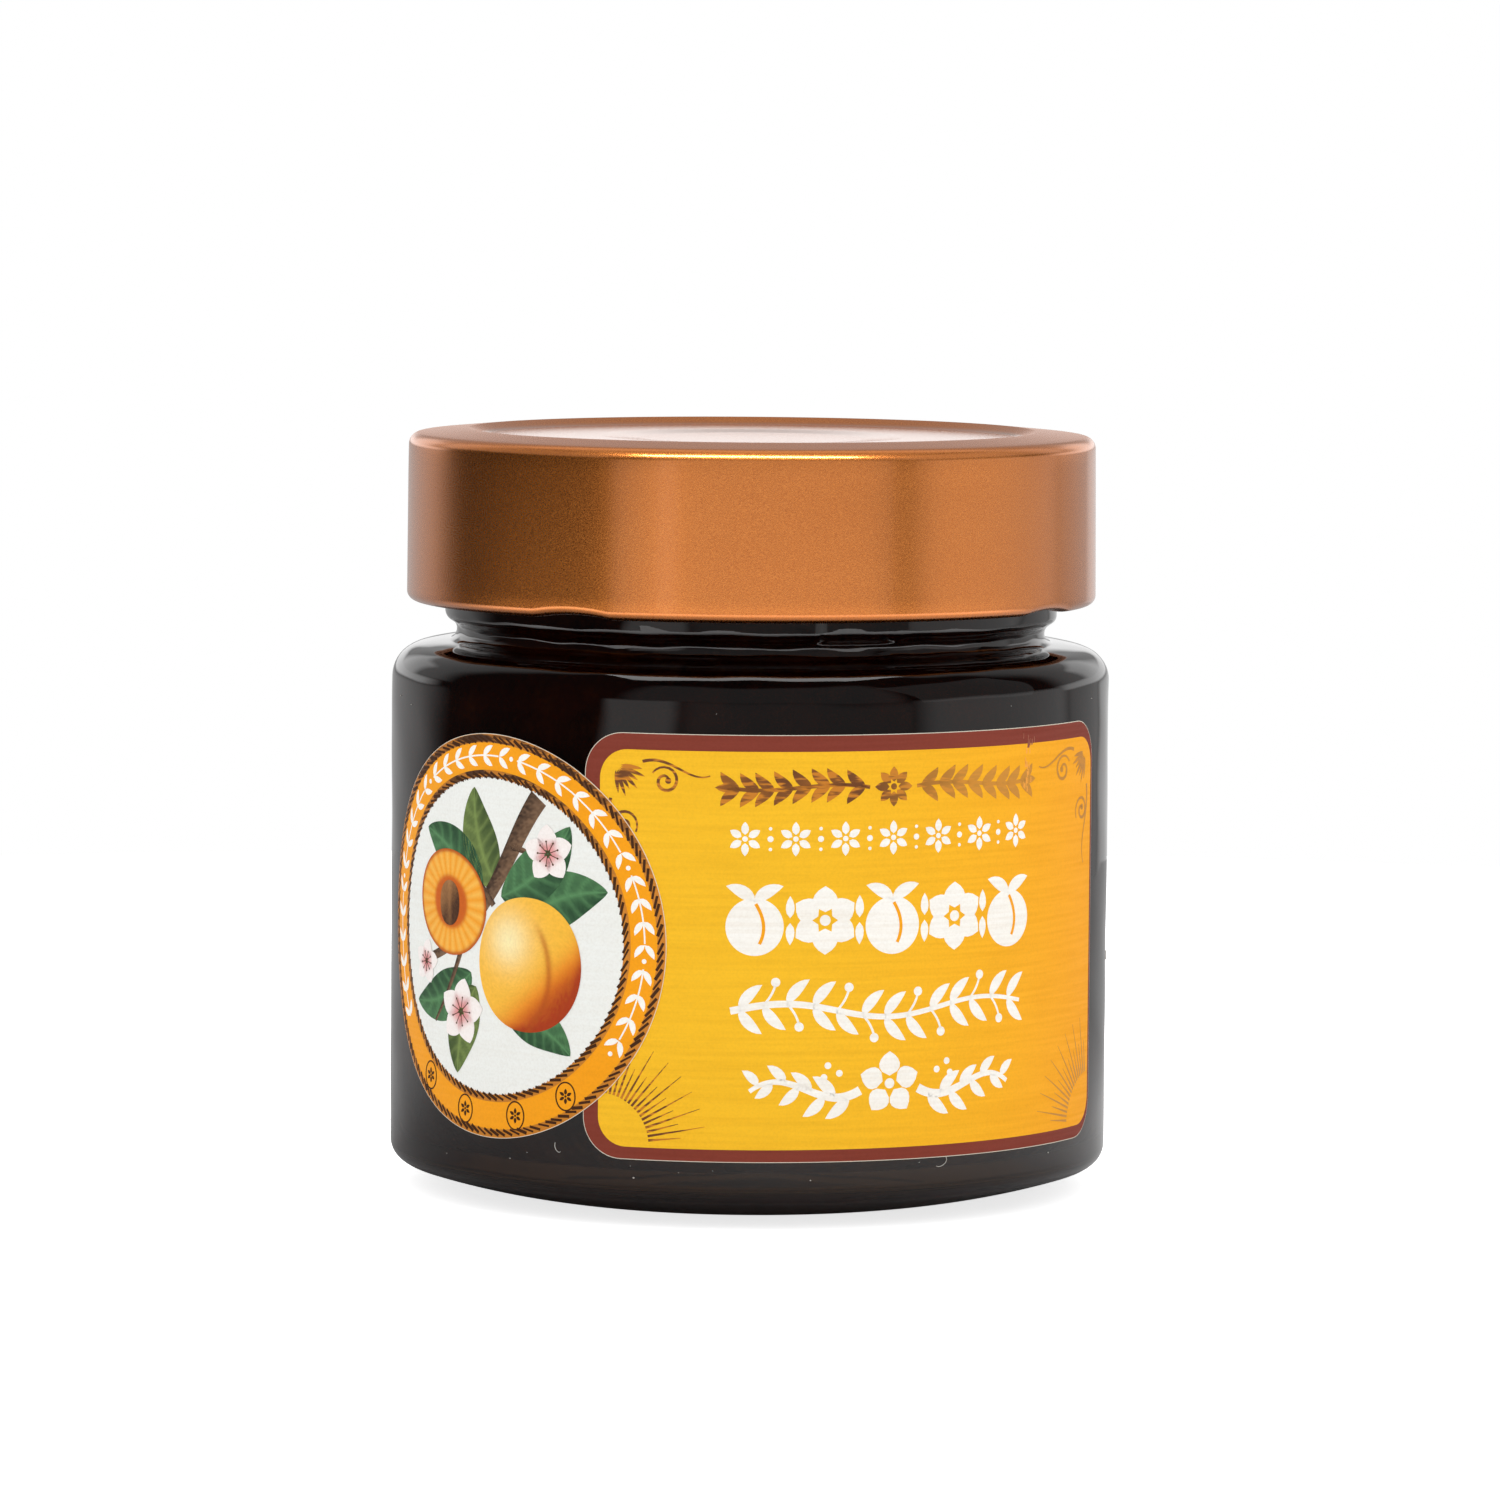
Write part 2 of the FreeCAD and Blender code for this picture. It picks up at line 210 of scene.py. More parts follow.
def turned(outline: Array, count: int, shift: Shift | None = None) -> Shape:
    """Surface of revolution: (r cos a, r sin a, z) for every outline point and every angle a.

    Args:
        outline: (n, 2) radii and heights, which start and end on the axis.
        count: number of angles.
        shift: gives what each grid point moves outwards and up, from its r, z and a.

    Returns:
        The closed shape.
    """
    rings = outline[1:-1]
    angle = np.arange(count)[None, :] * math.tau / count
    r, z = (np.repeat(rings[:, k:k + 1], count, axis=1) for k in (0, 1))
    if shift is not None:
        out, up = shift(r, z, angle)
        r, z = r + out, z + up
    points = np.stack([r * np.cos(angle), r * np.sin(angle), z], axis=-1).reshape(-1, 3)
    poles = [(0.0, 0.0, outline[0, 1]), (0.0, 0.0, outline[-1, 1])]
    faces = [loop_faces(len(rings), count, False), *fans(count, (len(rings) - 1) * count, len(points))]
    return Shape(np.concatenate([points, poles]), faces).outward()


def leg(start: Array, end: Array, step: float) -> list[Array]:
    """Points on the straight way after start, up to end."""
    length = float(np.hypot(*(end - start)))
    if length < 1e-6:
        return []
    parts = max(1, math.ceil(length / step))
    return [start + (end - start) * k / parts for k in range(1, parts + 1)]


def bow(centre: Array, start: Array, end: Array) -> list[Array]:
    """Points on the shorter arc about centre after start, up to end."""
    radius = float(np.hypot(*(start - centre)))
    first, last = (math.atan2(*(place - centre)[::-1]) for place in (start, end))
    turn = (last - first + math.pi) % math.tau - math.pi
    parts = max(5, math.ceil(abs(turn) * radius / min(0.5, max(0.16, radius * 0.14))))
    angles = first + turn * np.arange(1, parts + 1) / parts
    return [centre + radius * np.array([math.cos(a), math.sin(a)]) for a in angles]


def bent(corners: Sequence[tuple[float, float, float]], step: float) -> list[Array]:
    """Outline through corners (r, z, bend): straight legs, with an arc of radius bend at each corner.

    The arc touches its two legs at bend / tan(half the corner's angle) from the corner, and its
    centre is bend / sin(half the angle) away on the line that halves the corner.
    """
    points = [np.array(corners[0][:2])]
    for before, here, after in zip(corners, corners[1:], corners[2:]):
        vertex, bend = np.array(here[:2]), here[2]
        if not bend:
            points += leg(points[-1], vertex, step)
            continue
        back, on = (np.array(other[:2]) - vertex for other in (before, after))
        back, on = back / np.hypot(*back), on / np.hypot(*on)
        half = math.acos(float(back @ on)) / 2
        start, end = (vertex + way * bend / math.tan(half) for way in (back, on))
        middle = (back + on) / np.hypot(*(back + on))
        points += leg(points[-1], start, step)
        points += bow(vertex + middle * bend / math.sin(half), start, end)
    return points + leg(points[-1], np.array(corners[-1][:2]), step)


def toward(centre: Array, target: Array, distance: float) -> Array:
    """The point at a distance from centre, towards target."""
    return centre + (target - centre) * distance / np.hypot(*(target - centre))


def sweep_centre(foot: Array, corner: Array, corner_r: float, sweep_r: float, side: int) -> Array:
    """Centre of the flat arc from foot that runs smoothly into the corner arc about corner.

    It is sweep_r from foot and sweep_r - corner_r from corner, on the left of the way from foot
    to corner where side is 1, and on the right where side is -1.
    """
    way = corner - foot
    gap = float(np.hypot(*way))
    way = way / gap
    along = (sweep_r**2 - (sweep_r - corner_r) ** 2 + gap**2) / (2 * gap)
    across = side * math.sqrt(sweep_r**2 - along**2)
    return foot + along * way + across * np.array([-way[1], way[0]])


def deduped(points: Sequence[Array]) -> Array:
    """The outline without points that stand on the one before."""
    outline = np.array(points)
    keep = np.concatenate([[True], np.hypot(*np.diff(outline, axis=0).T) > 1e-5])
    return outline[keep]


# ---------------------------------------------------------------- node graphs


class Tree:
    """A node tree and short ways to add nodes to it."""

    def __init__(self, tree: bpy.types.NodeTree) -> None:
        """Keeps the tree."""
        self.tree = tree

    def feed(self, socket: Socket, value: object) -> None:
        """Links a socket to another one, or sets its value."""
        if isinstance(value, Socket):
            self.tree.links.new(value, socket)
        else:
            socket.default_value = value

    def node(self, kind: str, inputs: dict | None = None, **settings: object) -> bpy.types.Node:
        """A new shader node.

        Args:
            kind: the node's type name, without its prefix.
            inputs: input name or number, and its value or the socket that feeds it.
            **settings: the node's own properties.

        Returns:
            The node.
        """
        node = self.tree.nodes.new("ShaderNode" + kind)
        for key, value in settings.items():
            setattr(node, key, value)
        for key, value in (inputs or {}).items():
            self.feed(node.inputs[key], value)
        return node

    def maths(self, how: str, first: object, second: object) -> Socket:
        """The result of one operation."""
        return self.node("Math", {0: first, 1: second}, operation=how).outputs[0]

    def place(self, stretch: Colour = (1, 1, 1), turn: float = 0.0) -> Socket:
        """Object coordinates, stretched along each axis and turned about Y."""
        source = self.node("TexCoord").outputs["Object"]
        inputs = {"Vector": source, "Scale": stretch, "Rotation": (0, turn, 0)}
        return self.node("Mapping", inputs).outputs["Vector"]

    def axis(self, name: str) -> Socket:
        """One object coordinate in metres."""
        return self.node("SeparateXYZ", {0: self.node("TexCoord").outputs["Object"]}).outputs[name]

    def away(self, where: Socket, centre: Colour = (0, 0, 0)) -> Socket:
        """Distance of a place from a centre."""
        return self.node("VectorMath", {0: where, 1: centre}, operation="DISTANCE").outputs["Value"]

    def noise(self, where: Socket, scale: float, detail: float) -> Socket:
        """Noise of a scale in features per metre."""
        return self.node("TexNoise", {"Vector": where, "Scale": scale, "Detail": detail}).outputs["Fac"]

    def range(self, value: Socket, source: Pair, target: Pair = (0, 1), how: str = "LINEAR") -> Socket:
        """A value spread from one range to another, held at its ends."""
        inputs = {"Value": value, "From Min": source[0], "From Max": source[1],
                  "To Min": target[0], "To Max": target[1]}
        return self.node("MapRange", inputs, interpolation_type=how).outputs["Result"]

    def mix(self, share: object, first: object, second: object, how: str = "MIX") -> Socket:
        """Two colours mixed or multiplied."""
        inputs = {0: share}
        for key, value in ((6, first), (7, second)):
            inputs[key] = value if isinstance(value, Socket) else (*value, 1)
        return self.node("Mix", inputs, data_type="RGBA", blend_type=how).outputs[2]


class Graph(Tree):
    """A material and its Principled shader."""

    def __init__(self, name: str) -> None:
        """Makes the material."""
        self.material = bpy.data.materials.new(name)
        self.material.use_nodes = True
        super().__init__(self.material.node_tree)

    def set(self, **values: object) -> None:
        """Sets or feeds sockets of the shader; an underscore stands for a space."""
        for key, value in values.items():
            self.feed(self.tree.nodes["Principled BSDF"].inputs[key.replace("_", " ")], value)

    def bump(self, height: Socket, depth: float, strength: float) -> None:
        """Feeds the shader's normal from a height of the given depth in metres."""
        inputs = {"Height": height, "Distance": depth, "Strength": strength}
        self.set(Normal=self.node("Bump", inputs).outputs["Normal"])


# ---------------------------------------------------------------- finishes


@dataclass(frozen=True)
class Finish:
    """A finish that draws itself into a new material."""

    name: str

    def draw(self, graph: Graph) -> None:
        """Sets the shader up."""
        raise NotImplementedError

    def material(self) -> bpy.types.Material:
        """The finish as a material."""
        graph = Graph(self.name)
        self.draw(graph)
        return graph.material


@dataclass(frozen=True)
class DarkGlass(Finish):
    """Near-black violet-brown glass with a faint film of dust and handling."""

    name: str = "dark_glass"
    tint: Colour = (0.016, 0.0066, 0.0026)
    ior: float = 1.52
    gloss: Pair = (0.012, 0.07)

    def draw(self, graph: Graph) -> None:
        """Transmits through its tint; noise makes the gloss a little uneven."""
        film = graph.noise(graph.place(), 95, 4)
        graph.set(Base_Color=(*self.tint, 1), IOR=self.ior, Transmission_Weight=1.0,
                  Roughness=graph.range(film, (0.45, 0.75), self.gloss))
        graph.bump(graph.noise(graph.place(), 260, 2), 0.00002, 0.35)


@dataclass(frozen=True)
class ApricotJam(Finish):
    """Cooked apricot with darker skins and pale fibres."""

    name: str = "apricot_jam"
    pulp: Colour = linear(206, 116, 18)
    skin: Colour = linear(140, 62, 8)
    fibre: Colour = linear(236, 160, 52)

    def draw(self, graph: Graph) -> None:
        """Lumps of pulp and skin from two noises, glossy and softly uneven."""
        lumps = graph.range(graph.noise(graph.place(), 130, 5), (0.38, 0.62))
        fibres = graph.range(graph.noise(graph.place((1, 1, 0.4)), 420, 3), (0.52, 0.72), (0, 0.7))
        body = graph.mix(lumps, self.skin, self.pulp)
        graph.set(Base_Color=graph.mix(fibres, body, self.fibre), Subsurface_Weight=0.15,
                  Subsurface_Radius=(0.004, 0.0018, 0.0006),
                  Roughness=graph.range(lumps, (0, 1), (0.22, 0.4)))
        graph.bump(lumps, 0.0004, 0.6)


@dataclass(frozen=True)
class SatinCopper(Finish):
    """Satin copper lacquer on tinplate whose fine lines run round the lid, with painted shade along the
    bottom of the curl.
    """

    name: str = "satin_copper"
    light: Colour = linear(228, 140, 66)
    deep: Colour = linear(208, 118, 50)
    # Painted shade: a dark brown that the colour turns towards over the bottom of the curl, where the rolled
    # edge is in shade.
    curl_painted_shade: Colour = linear(112, 54, 22)
    roughness: Pair = (0.25, 0.29)
    polish: float = 0.08
    drawn: float = 0.15
    panel_r: float = 0.0284
    panel_soft: float = 0.0003
    panel_coat: float = 0.6
    corner_r: float = 0.0352
    corner_soft: float = 0.001
    skirt_coat: float = 0.75
    curl_z: float = 0.062
    curl_soft: Pair = (0.0002, 0.0013)
    curl_shade_share: float = 0.4

    def draw(self, graph: Graph) -> None:
        """Metal with fine grain and soft clouds, smoother on the panel, with painted shade that darkens the
        colour along the curl's lowest edge.
        """
        grain = graph.noise(graph.place((1, 1, 1.6)), 5200, 2)
        cloud = graph.noise(graph.place((1, 1, 3)), 60, 3)
        tone = graph.mix(graph.range(grain, (0.3, 0.7)), self.deep, self.light)
        soft = graph.mix(graph.range(cloud, (0.3, 0.7), (0, 0.3)), tone, self.deep)
        away = graph.away(graph.place((1, 1, 0)))
        edge = (self.panel_r - self.panel_soft, self.panel_r + self.panel_soft)
        skirt = graph.range(away, (self.corner_r, self.corner_r + self.corner_soft), (0, self.skirt_coat))
        rise = (self.curl_z + self.curl_soft[0], self.curl_z + self.curl_soft[1])
        # Painted shade: the base colour turns towards dark brown over the curl's lowest millimetre.
        curl = graph.range(graph.axis("Z"), rise, (self.curl_shade_share, 0))
        graph.set(
            Base_Color=graph.mix(curl, soft, self.curl_painted_shade),
            Metallic=1.0,
            Roughness=graph.maths("SUBTRACT", graph.range(grain, (0.3, 0.7), self.roughness),
                                  graph.range(away, edge, (self.polish, 0))),
            Anisotropic=self.drawn,
            Anisotropic_Rotation=0.25,
            Coat_Weight=graph.maths("ADD", graph.range(away, edge, (self.panel_coat, 0)), skirt),
            Coat_Roughness=0.12,
            Coat_IOR=1.5,
        )
        graph.bump(grain, 0.00001, 0.3)


@dataclass(frozen=True)
class Plastisol(Finish):
    """The pale sealing compound under the lid."""

    name: str = "plastisol"
    colour: Colour = linear(222, 214, 198)
    pit: Colour = linear(190, 178, 158)

    def draw(self, graph: Graph) -> None:
        """Soft rubbery skin with faint pits."""
        pits = graph.noise(graph.place(), 900, 3)
        shade = graph.range(pits, (0.35, 0.65), (0, 0.25))
        graph.set(Base_Color=graph.mix(shade, self.colour, self.pit),
                  Roughness=graph.range(pits, (0.3, 0.7), (0.42, 0.6)))
        graph.bump(pits, 0.00003, 0.5)


@dataclass(frozen=True)
class PrintedPaper(Finish):
    """Uncoated laid paper with its print: fine ribs run round the jar."""

    name: str = "printed_paper"
    roughness: Pair = (0.52, 0.66)
    tooth: float = 0.2
    relief: float = 0.00003

    def draw(self, graph: Graph) -> None:
        """The print's own colour from the ink attribute, mottled by ribs, grain and soft blotches."""
        colour = graph.node("Attribute", attribute_name="ink").outputs["Color"]
        ribs = graph.noise(graph.place((0.035, 0.035, 1)), 2600, 2)
        grain, blotch = graph.noise(graph.place(), 3800, 2), graph.noise(graph.place(), 240, 3)
        for source, span, depth, shade in (
            (ribs, (0.35, 0.7), self.tooth, linear(214, 196, 170)),
            (grain, (0.4, 0.75), 0.14, linear(200, 190, 180)),
            (blotch, (0.5, 0.8), 0.1, linear(225, 215, 205)),
        ):
            colour = graph.mix(graph.range(source, span, (0, depth)), colour, shade, "MULTIPLY")
        graph.set(Base_Color=colour, Roughness=graph.range(ribs, (0.3, 0.7), self.roughness),
                  Specular_IOR_Level=0.16)
        graph.bump(ribs, self.relief, 0.5)


@dataclass(frozen=True)
class BronzeFoil(Finish):
    """Stamped bronze foil: dark with slanting painted glints, and paler towards one end of an axis, a painted
    reflection of the brighter side of the room.
    """

    name: str = "bronze_foil"
    dark: Colour = linear(112, 60, 6)
    bright: Colour = linear(206, 126, 20)
    pale: Colour = linear(208, 140, 34)
    along: str = "X"
    sheen_span: Pair = (0.012, 0.023)
    slant: float = 0.9

    def draw(self, graph: Graph) -> None:
        """Slanting streaks of a dark and a bright bronze as painted glints, brighter in soft patches, and
        mixed with the pale one along the axis as painted reflection.
        """
        streaks = graph.noise(graph.place((0.18, 0.18, 1), self.slant), 2100, 2)
        patches = graph.noise(graph.place(), 150, 2)
        # Painted glints: the slanting streaks swap between the dark and the bright bronze.
        colour = graph.mix(graph.range(streaks, (0.46, 0.56)), self.dark, self.bright)
        patchy = graph.mix(graph.range(patches, (0.5, 0.75), (0, 0.4)), colour, self.bright)
        # Painted reflection: paler towards one end of the axis and darker towards the other, where the foil
        # would mirror the dim room.
        pale = graph.range(graph.axis(self.along), self.sheen_span, (0, 0.85))
        graph.set(Base_Color=graph.mix(pale, patchy, self.pale), Metallic=0.25,
                  Roughness=graph.range(streaks, (0.3, 0.7), (0.3, 0.48)))
        graph.bump(streaks, 0.00001, 0.4)


@dataclass(frozen=True)
class Lint(Finish):
    """Dust and fibres that cling to the glass."""

    name: str = "lint"
    colour: Colour = linear(205, 200, 192)
    shade: Colour = linear(140, 132, 122)

    def draw(self, graph: Graph) -> None:
        """Dull and fuzzy, a little darker in places."""
        tone = graph.range(graph.noise(graph.place(), 1500, 2), (0.3, 0.7), (0, 0.6))
        graph.set(Base_Color=graph.mix(tone, self.colour, self.shade), Roughness=0.9)


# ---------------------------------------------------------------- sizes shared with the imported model


@dataclass(frozen=True)
class Datum:
    """Levels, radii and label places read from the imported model, in millimetres."""

    wall_r: float
    rim_z: float
    jam_z: float
    lid_low: float
    lid_high: float
    lid_r: float
    label: tuple[float, float, float, float]
    medal: tuple[float, float, float, float]

    @classmethod
    def measured(cls) -> Datum:
        """Reads the boxes of the CAD nodes; a label's x is turned into arc length on the wall."""

        def box(node: str) -> Array:
            """The node's box in millimetres."""
            return np.array([list(corner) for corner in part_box(node)]) / MM

        glass, jam, lid = box("glass_jar"), box("jam"), box("lid")
        wall_r = float(glass[1, 0])

        def span(node: str) -> tuple[float, float, float, float]:
            """Left, right, low and high of a label."""
            corners = box(node)
            left, right = (wall_r * math.asin(x / (wall_r + PAPER)) for x in corners[:, 0])
            return left, right, float(corners[0, 2]), float(corners[1, 2])

        return cls(wall_r, float(glass[1, 2]), float(jam[1, 2]), float(lid[0, 2]), float(lid[1, 2]),
                   float(lid[1, 0]), span("main_label"), span("medallion_label"))


@dataclass
class Maker:
    """What the sub-assemblies share: the measured sizes."""

    datum: Datum

    def fix(self, piece: bpy.types.Object, slot: str, *nodes: str) -> None:
        """Lets the piece ride on the body and hides the imported nodes that it stands in for."""
        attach(piece, BODY)
        if nodes:
            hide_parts(*nodes)
        LOG.info("%s: %d faces", piece.name, len(piece.data.polygons))


# ---------------------------------------------------------------- glass, jam and lid


@dataclass
class GlassJar(Maker):
    """The glass: heel, wall, shoulder, neck, broken bead, threaded finish and hollow."""

    ring_width: float = 1.8
    heel_width: float = 12.1
    heel_height: float = 4.65
    heel_corner_r: float = 2.2
    heel_sweep_r: float = 68.0
    push_up: float = 2.2
    base_thick: float = 3.8
    wall: float = 2.7
    wall_top: float = 53.8
    shoulder_rise: float = 3.9
    shoulder_corner_r: float = 3.45
    shoulder_sweep_r: float = 24.6
    neck_r: float = 31.05
    neck_fillet: float = 1.0
    finish_r: float = 32.3
    bead_low: float = 1.6
    bead_high: float = 2.5
    rim_bore_r: float = 29.6
    bore_r: float = 28.6
    lead_out: float = 1.6
    lead_low: float = 63.43
    lead_height: float = 2.0
    lead_arc: float = 50.0
    lead_climb: float = 1.24
    first_lead: float = -120.7
    lead_edge: float = 0.6
    lead_fade: float = 4.0
    gap_left: float = 12.0
    gap_right: float = 29.0
    gap_fade: Pair = (2.0, 3.0)
    gap_depth: float = 0.95
    gap_floor: float = 58.0
    gap_top: Pair = (62.5, 64.5)
    wave: float = 0.022
    wave_low: Pair = (3.0, 9.0)
    wave_high: Pair = (56.0, 59.0)
    wave_r: Pair = (34.0, 36.5)
    shoulder_wave: Pair = (44.0, 54.0)
    ragged: float = 0.028
    ragged_low: Pair = (55.2, 56.6)
    ragged_high: Pair = (60.6, 62.0)
    ragged_r: Pair = (30.3, 31.0)
    turns: int = 300

    def outside(self) -> list[Array]:
        """Underside, heel, wall, shoulder, neck and finish, from the axis out and up."""
        wall_r = self.datum.wall_r
        top = self.wall_top + self.shoulder_rise
        ring_out = np.array([wall_r - self.heel_width, 0.0])
        ring_in = ring_out - (self.ring_width, 0)
        dome = (ring_in[0] ** 2 + self.push_up**2) / (2 * self.push_up)
        heel = np.array([wall_r - self.heel_corner_r, self.heel_height])
        sweep = sweep_centre(ring_out, heel, self.heel_corner_r, self.heel_sweep_r, 1)
        meet = toward(sweep, heel, self.heel_sweep_r)
        points = [np.array([0.0, self.push_up])]
        points += bow(np.array([0.0, self.push_up - dome]), points[0], ring_in)
        points += leg(points[-1], ring_out, 0.45)
        points += bow(sweep, ring_out, meet) + bow(heel, meet, np.array([wall_r, self.heel_height]))
        points += leg(points[-1], np.array([wall_r, self.wall_top]), 1.3)

        corner = np.array([wall_r - self.shoulder_corner_r, self.wall_top])
        foot = np.array([self.neck_r, top])
        sweep = sweep_centre(foot, corner, self.shoulder_corner_r, self.shoulder_sweep_r, -1)
        meet = toward(sweep, corner, self.shoulder_sweep_r)
        fillet_r = self.neck_r + self.neck_fillet
        reach = self.shoulder_sweep_r + self.neck_fillet
        fillet = np.array([fillet_r, sweep[1] + math.sqrt(reach**2 - (fillet_r - sweep[0]) ** 2)])
        touch = toward(sweep, fillet, self.shoulder_sweep_r)
        points += bow(corner, points[-1], meet) + bow(sweep, meet, touch)
        points += bow(fillet, touch, np.array([self.neck_r, fillet[1]]))
        return points + bent([
            (self.neck_r, fillet[1], 0),
            (self.neck_r, top + self.bead_low, 0.9),
            (self.finish_r, top + self.bead_high, 0.9),
            (self.finish_r, self.datum.rim_z, 1.2),
            (self.rim_bore_r, self.datum.rim_z, 1.0),
            (self.rim_bore_r, self.datum.rim_z - 2, 0),
        ], 0.5)

    def hollow(self) -> list[Array]:
        """The inside, from the rim's bore down to the middle of the floor."""
        wall_r = self.datum.wall_r - self.wall
        under = self.wall_top + 1.0
        floor = self.push_up + self.base_thick
        return bent([
            (self.rim_bore_r, self.datum.rim_z - 2, 0),
            (self.rim_bore_r, self.wall_top + 13.9, 0),
            (self.bore_r, self.wall_top + 9.9, 0),
            (self.bore_r, under, 2.5),
            (wall_r, under - 1.0, 4.0),
            (wall_r, floor - 1.0, 6.0),
            (wall_r / 2, floor, 0),
            (0, floor, 0),
        ], 1.8)

    def shift(self, r: Array, z: Array, angle: Array) -> tuple[Array, Array]:
        """Thread leads, the gap in the bead and the slow waves of moulded glass, outwards.

        A lead's height above its low edge is a smooth bump over its arc. The waves are sines
        round and up the jar with fixed phases, and fade out on the standing ring.
        """
        degrees = np.degrees(angle)
        outside = ease(r, self.finish_r - 1.9, self.finish_r - 1.0) * (z > self.wall_top + 6)
        out = np.zeros(np.broadcast(r, angle).shape)
        half = self.lead_arc / 2
        for k in range(4):
            away = apart(degrees, self.first_lead + 90 * k)
            low = self.lead_low + self.lead_climb * away / half
            along = ease(half - np.abs(away), 0, self.lead_fade)
            top = low + self.lead_height
            up = ease(z, low, low + self.lead_edge) * ease(-z, -top, -top + self.lead_edge)
            out += self.lead_out * along * up * outside
        right = apart(degrees, -90)
        gap = ease(right, self.gap_left, self.gap_left + self.gap_fade[0])
        gap = gap * ease(-right, -self.gap_right, -self.gap_right + self.gap_fade[1])
        bead = ease(r, self.neck_r + 0.1, self.neck_r + 0.6) * fading(z, self.gap_top) * (z > self.gap_floor)
        out -= self.gap_depth * gap * bead * (r < self.finish_r + 0.1)
        waves = swell(angle, z, (1.0, 7, 0.21, 0.6), (0.8, 13, -0.34, 2.1), (0.6, 23, 0.55, 4.0))
        waves += swell(angle, z, (0.9, 3, 0.8, 1.2)) * ease(z, *self.shoulder_wave)
        body = ease(z, *self.wave_low) * fading(z, self.wave_high) * ease(r, *self.wave_r)
        out += self.wave * waves * body
        neck = ease(z, *self.ragged_low) * fading(z, self.ragged_high) * ease(r, *self.ragged_r)
        ragged = swell(angle, z, (1.0, 9, 1.9, 1.0), (0.7, 17, -2.6, 0.3), (0.5, 31, 3.4, 2.2))
        out += self.ragged * neck * ragged
        return out, np.zeros_like(out)

    def build(self) -> None:
        """Turns the outline, adds leads and waves, and dresses it in dark glass."""
        shape = turned(deduped(self.outside() + self.hollow()[1:]), self.turns, self.shift)
        self.fix(shape.piece("glass_body", DarkGlass().material()), "glass", "glass_jar")


@dataclass
class Filling(Maker):
    """The jam: it fills the hollow, reaching just into the wall, up to a lightly stirred surface."""

    glass: GlassJar
    reach: float = 0.1
    floor_z: Pair = (8.0, 12.0)
    stir: float = 0.35
    stir_r: Pair = (20.0, 27.5)
    climb: float = 0.2
    climb_r: Pair = (26.5, 28.4)
    turns: int = 120

    def shift(self, r: Array, z: Array, angle: Array) -> tuple[Array, Array]:
        """Sines lift and lower the top, fading at the glass, where it climbs a little."""
        top = ease(z, self.datum.jam_z - 0.2, self.datum.jam_z - 0.05)
        x, y = r * np.cos(angle), r * np.sin(angle)
        stir = np.sin(0.31 * x + 0.5) * np.cos(0.27 * y) + 0.5 * np.sin(0.7 * x - 0.6 * y + 1.0)
        up = top * (self.stir * stir * fading(r, self.stir_r) - self.climb * fading(r, self.climb_r))
        return np.zeros_like(up), up

    def build(self) -> None:
        """Follows the glass's hollow up to the jam's level."""
        jam_z = self.datum.jam_z
        hollow = np.array(self.glass.hollow())[::-1]
        below = hollow[hollow[:, 1] < jam_z - 0.4]
        below[:, 0] += np.where(below[:, 0] > 1, self.reach, 0)
        below[:, 1] -= self.reach * fading(below[:, 1], self.floor_z)
        side = leg(below[-1], np.array([below[-1, 0], jam_z]), 0.4)
        top = leg(side[-1], np.array([0.0, jam_z]), 1.1)
        shape = turned(deduped([*below, *side, *top]), self.turns, self.shift)
        self.fix(shape.piece("apricot_filling", ApricotJam().material()), "jam", "jam")


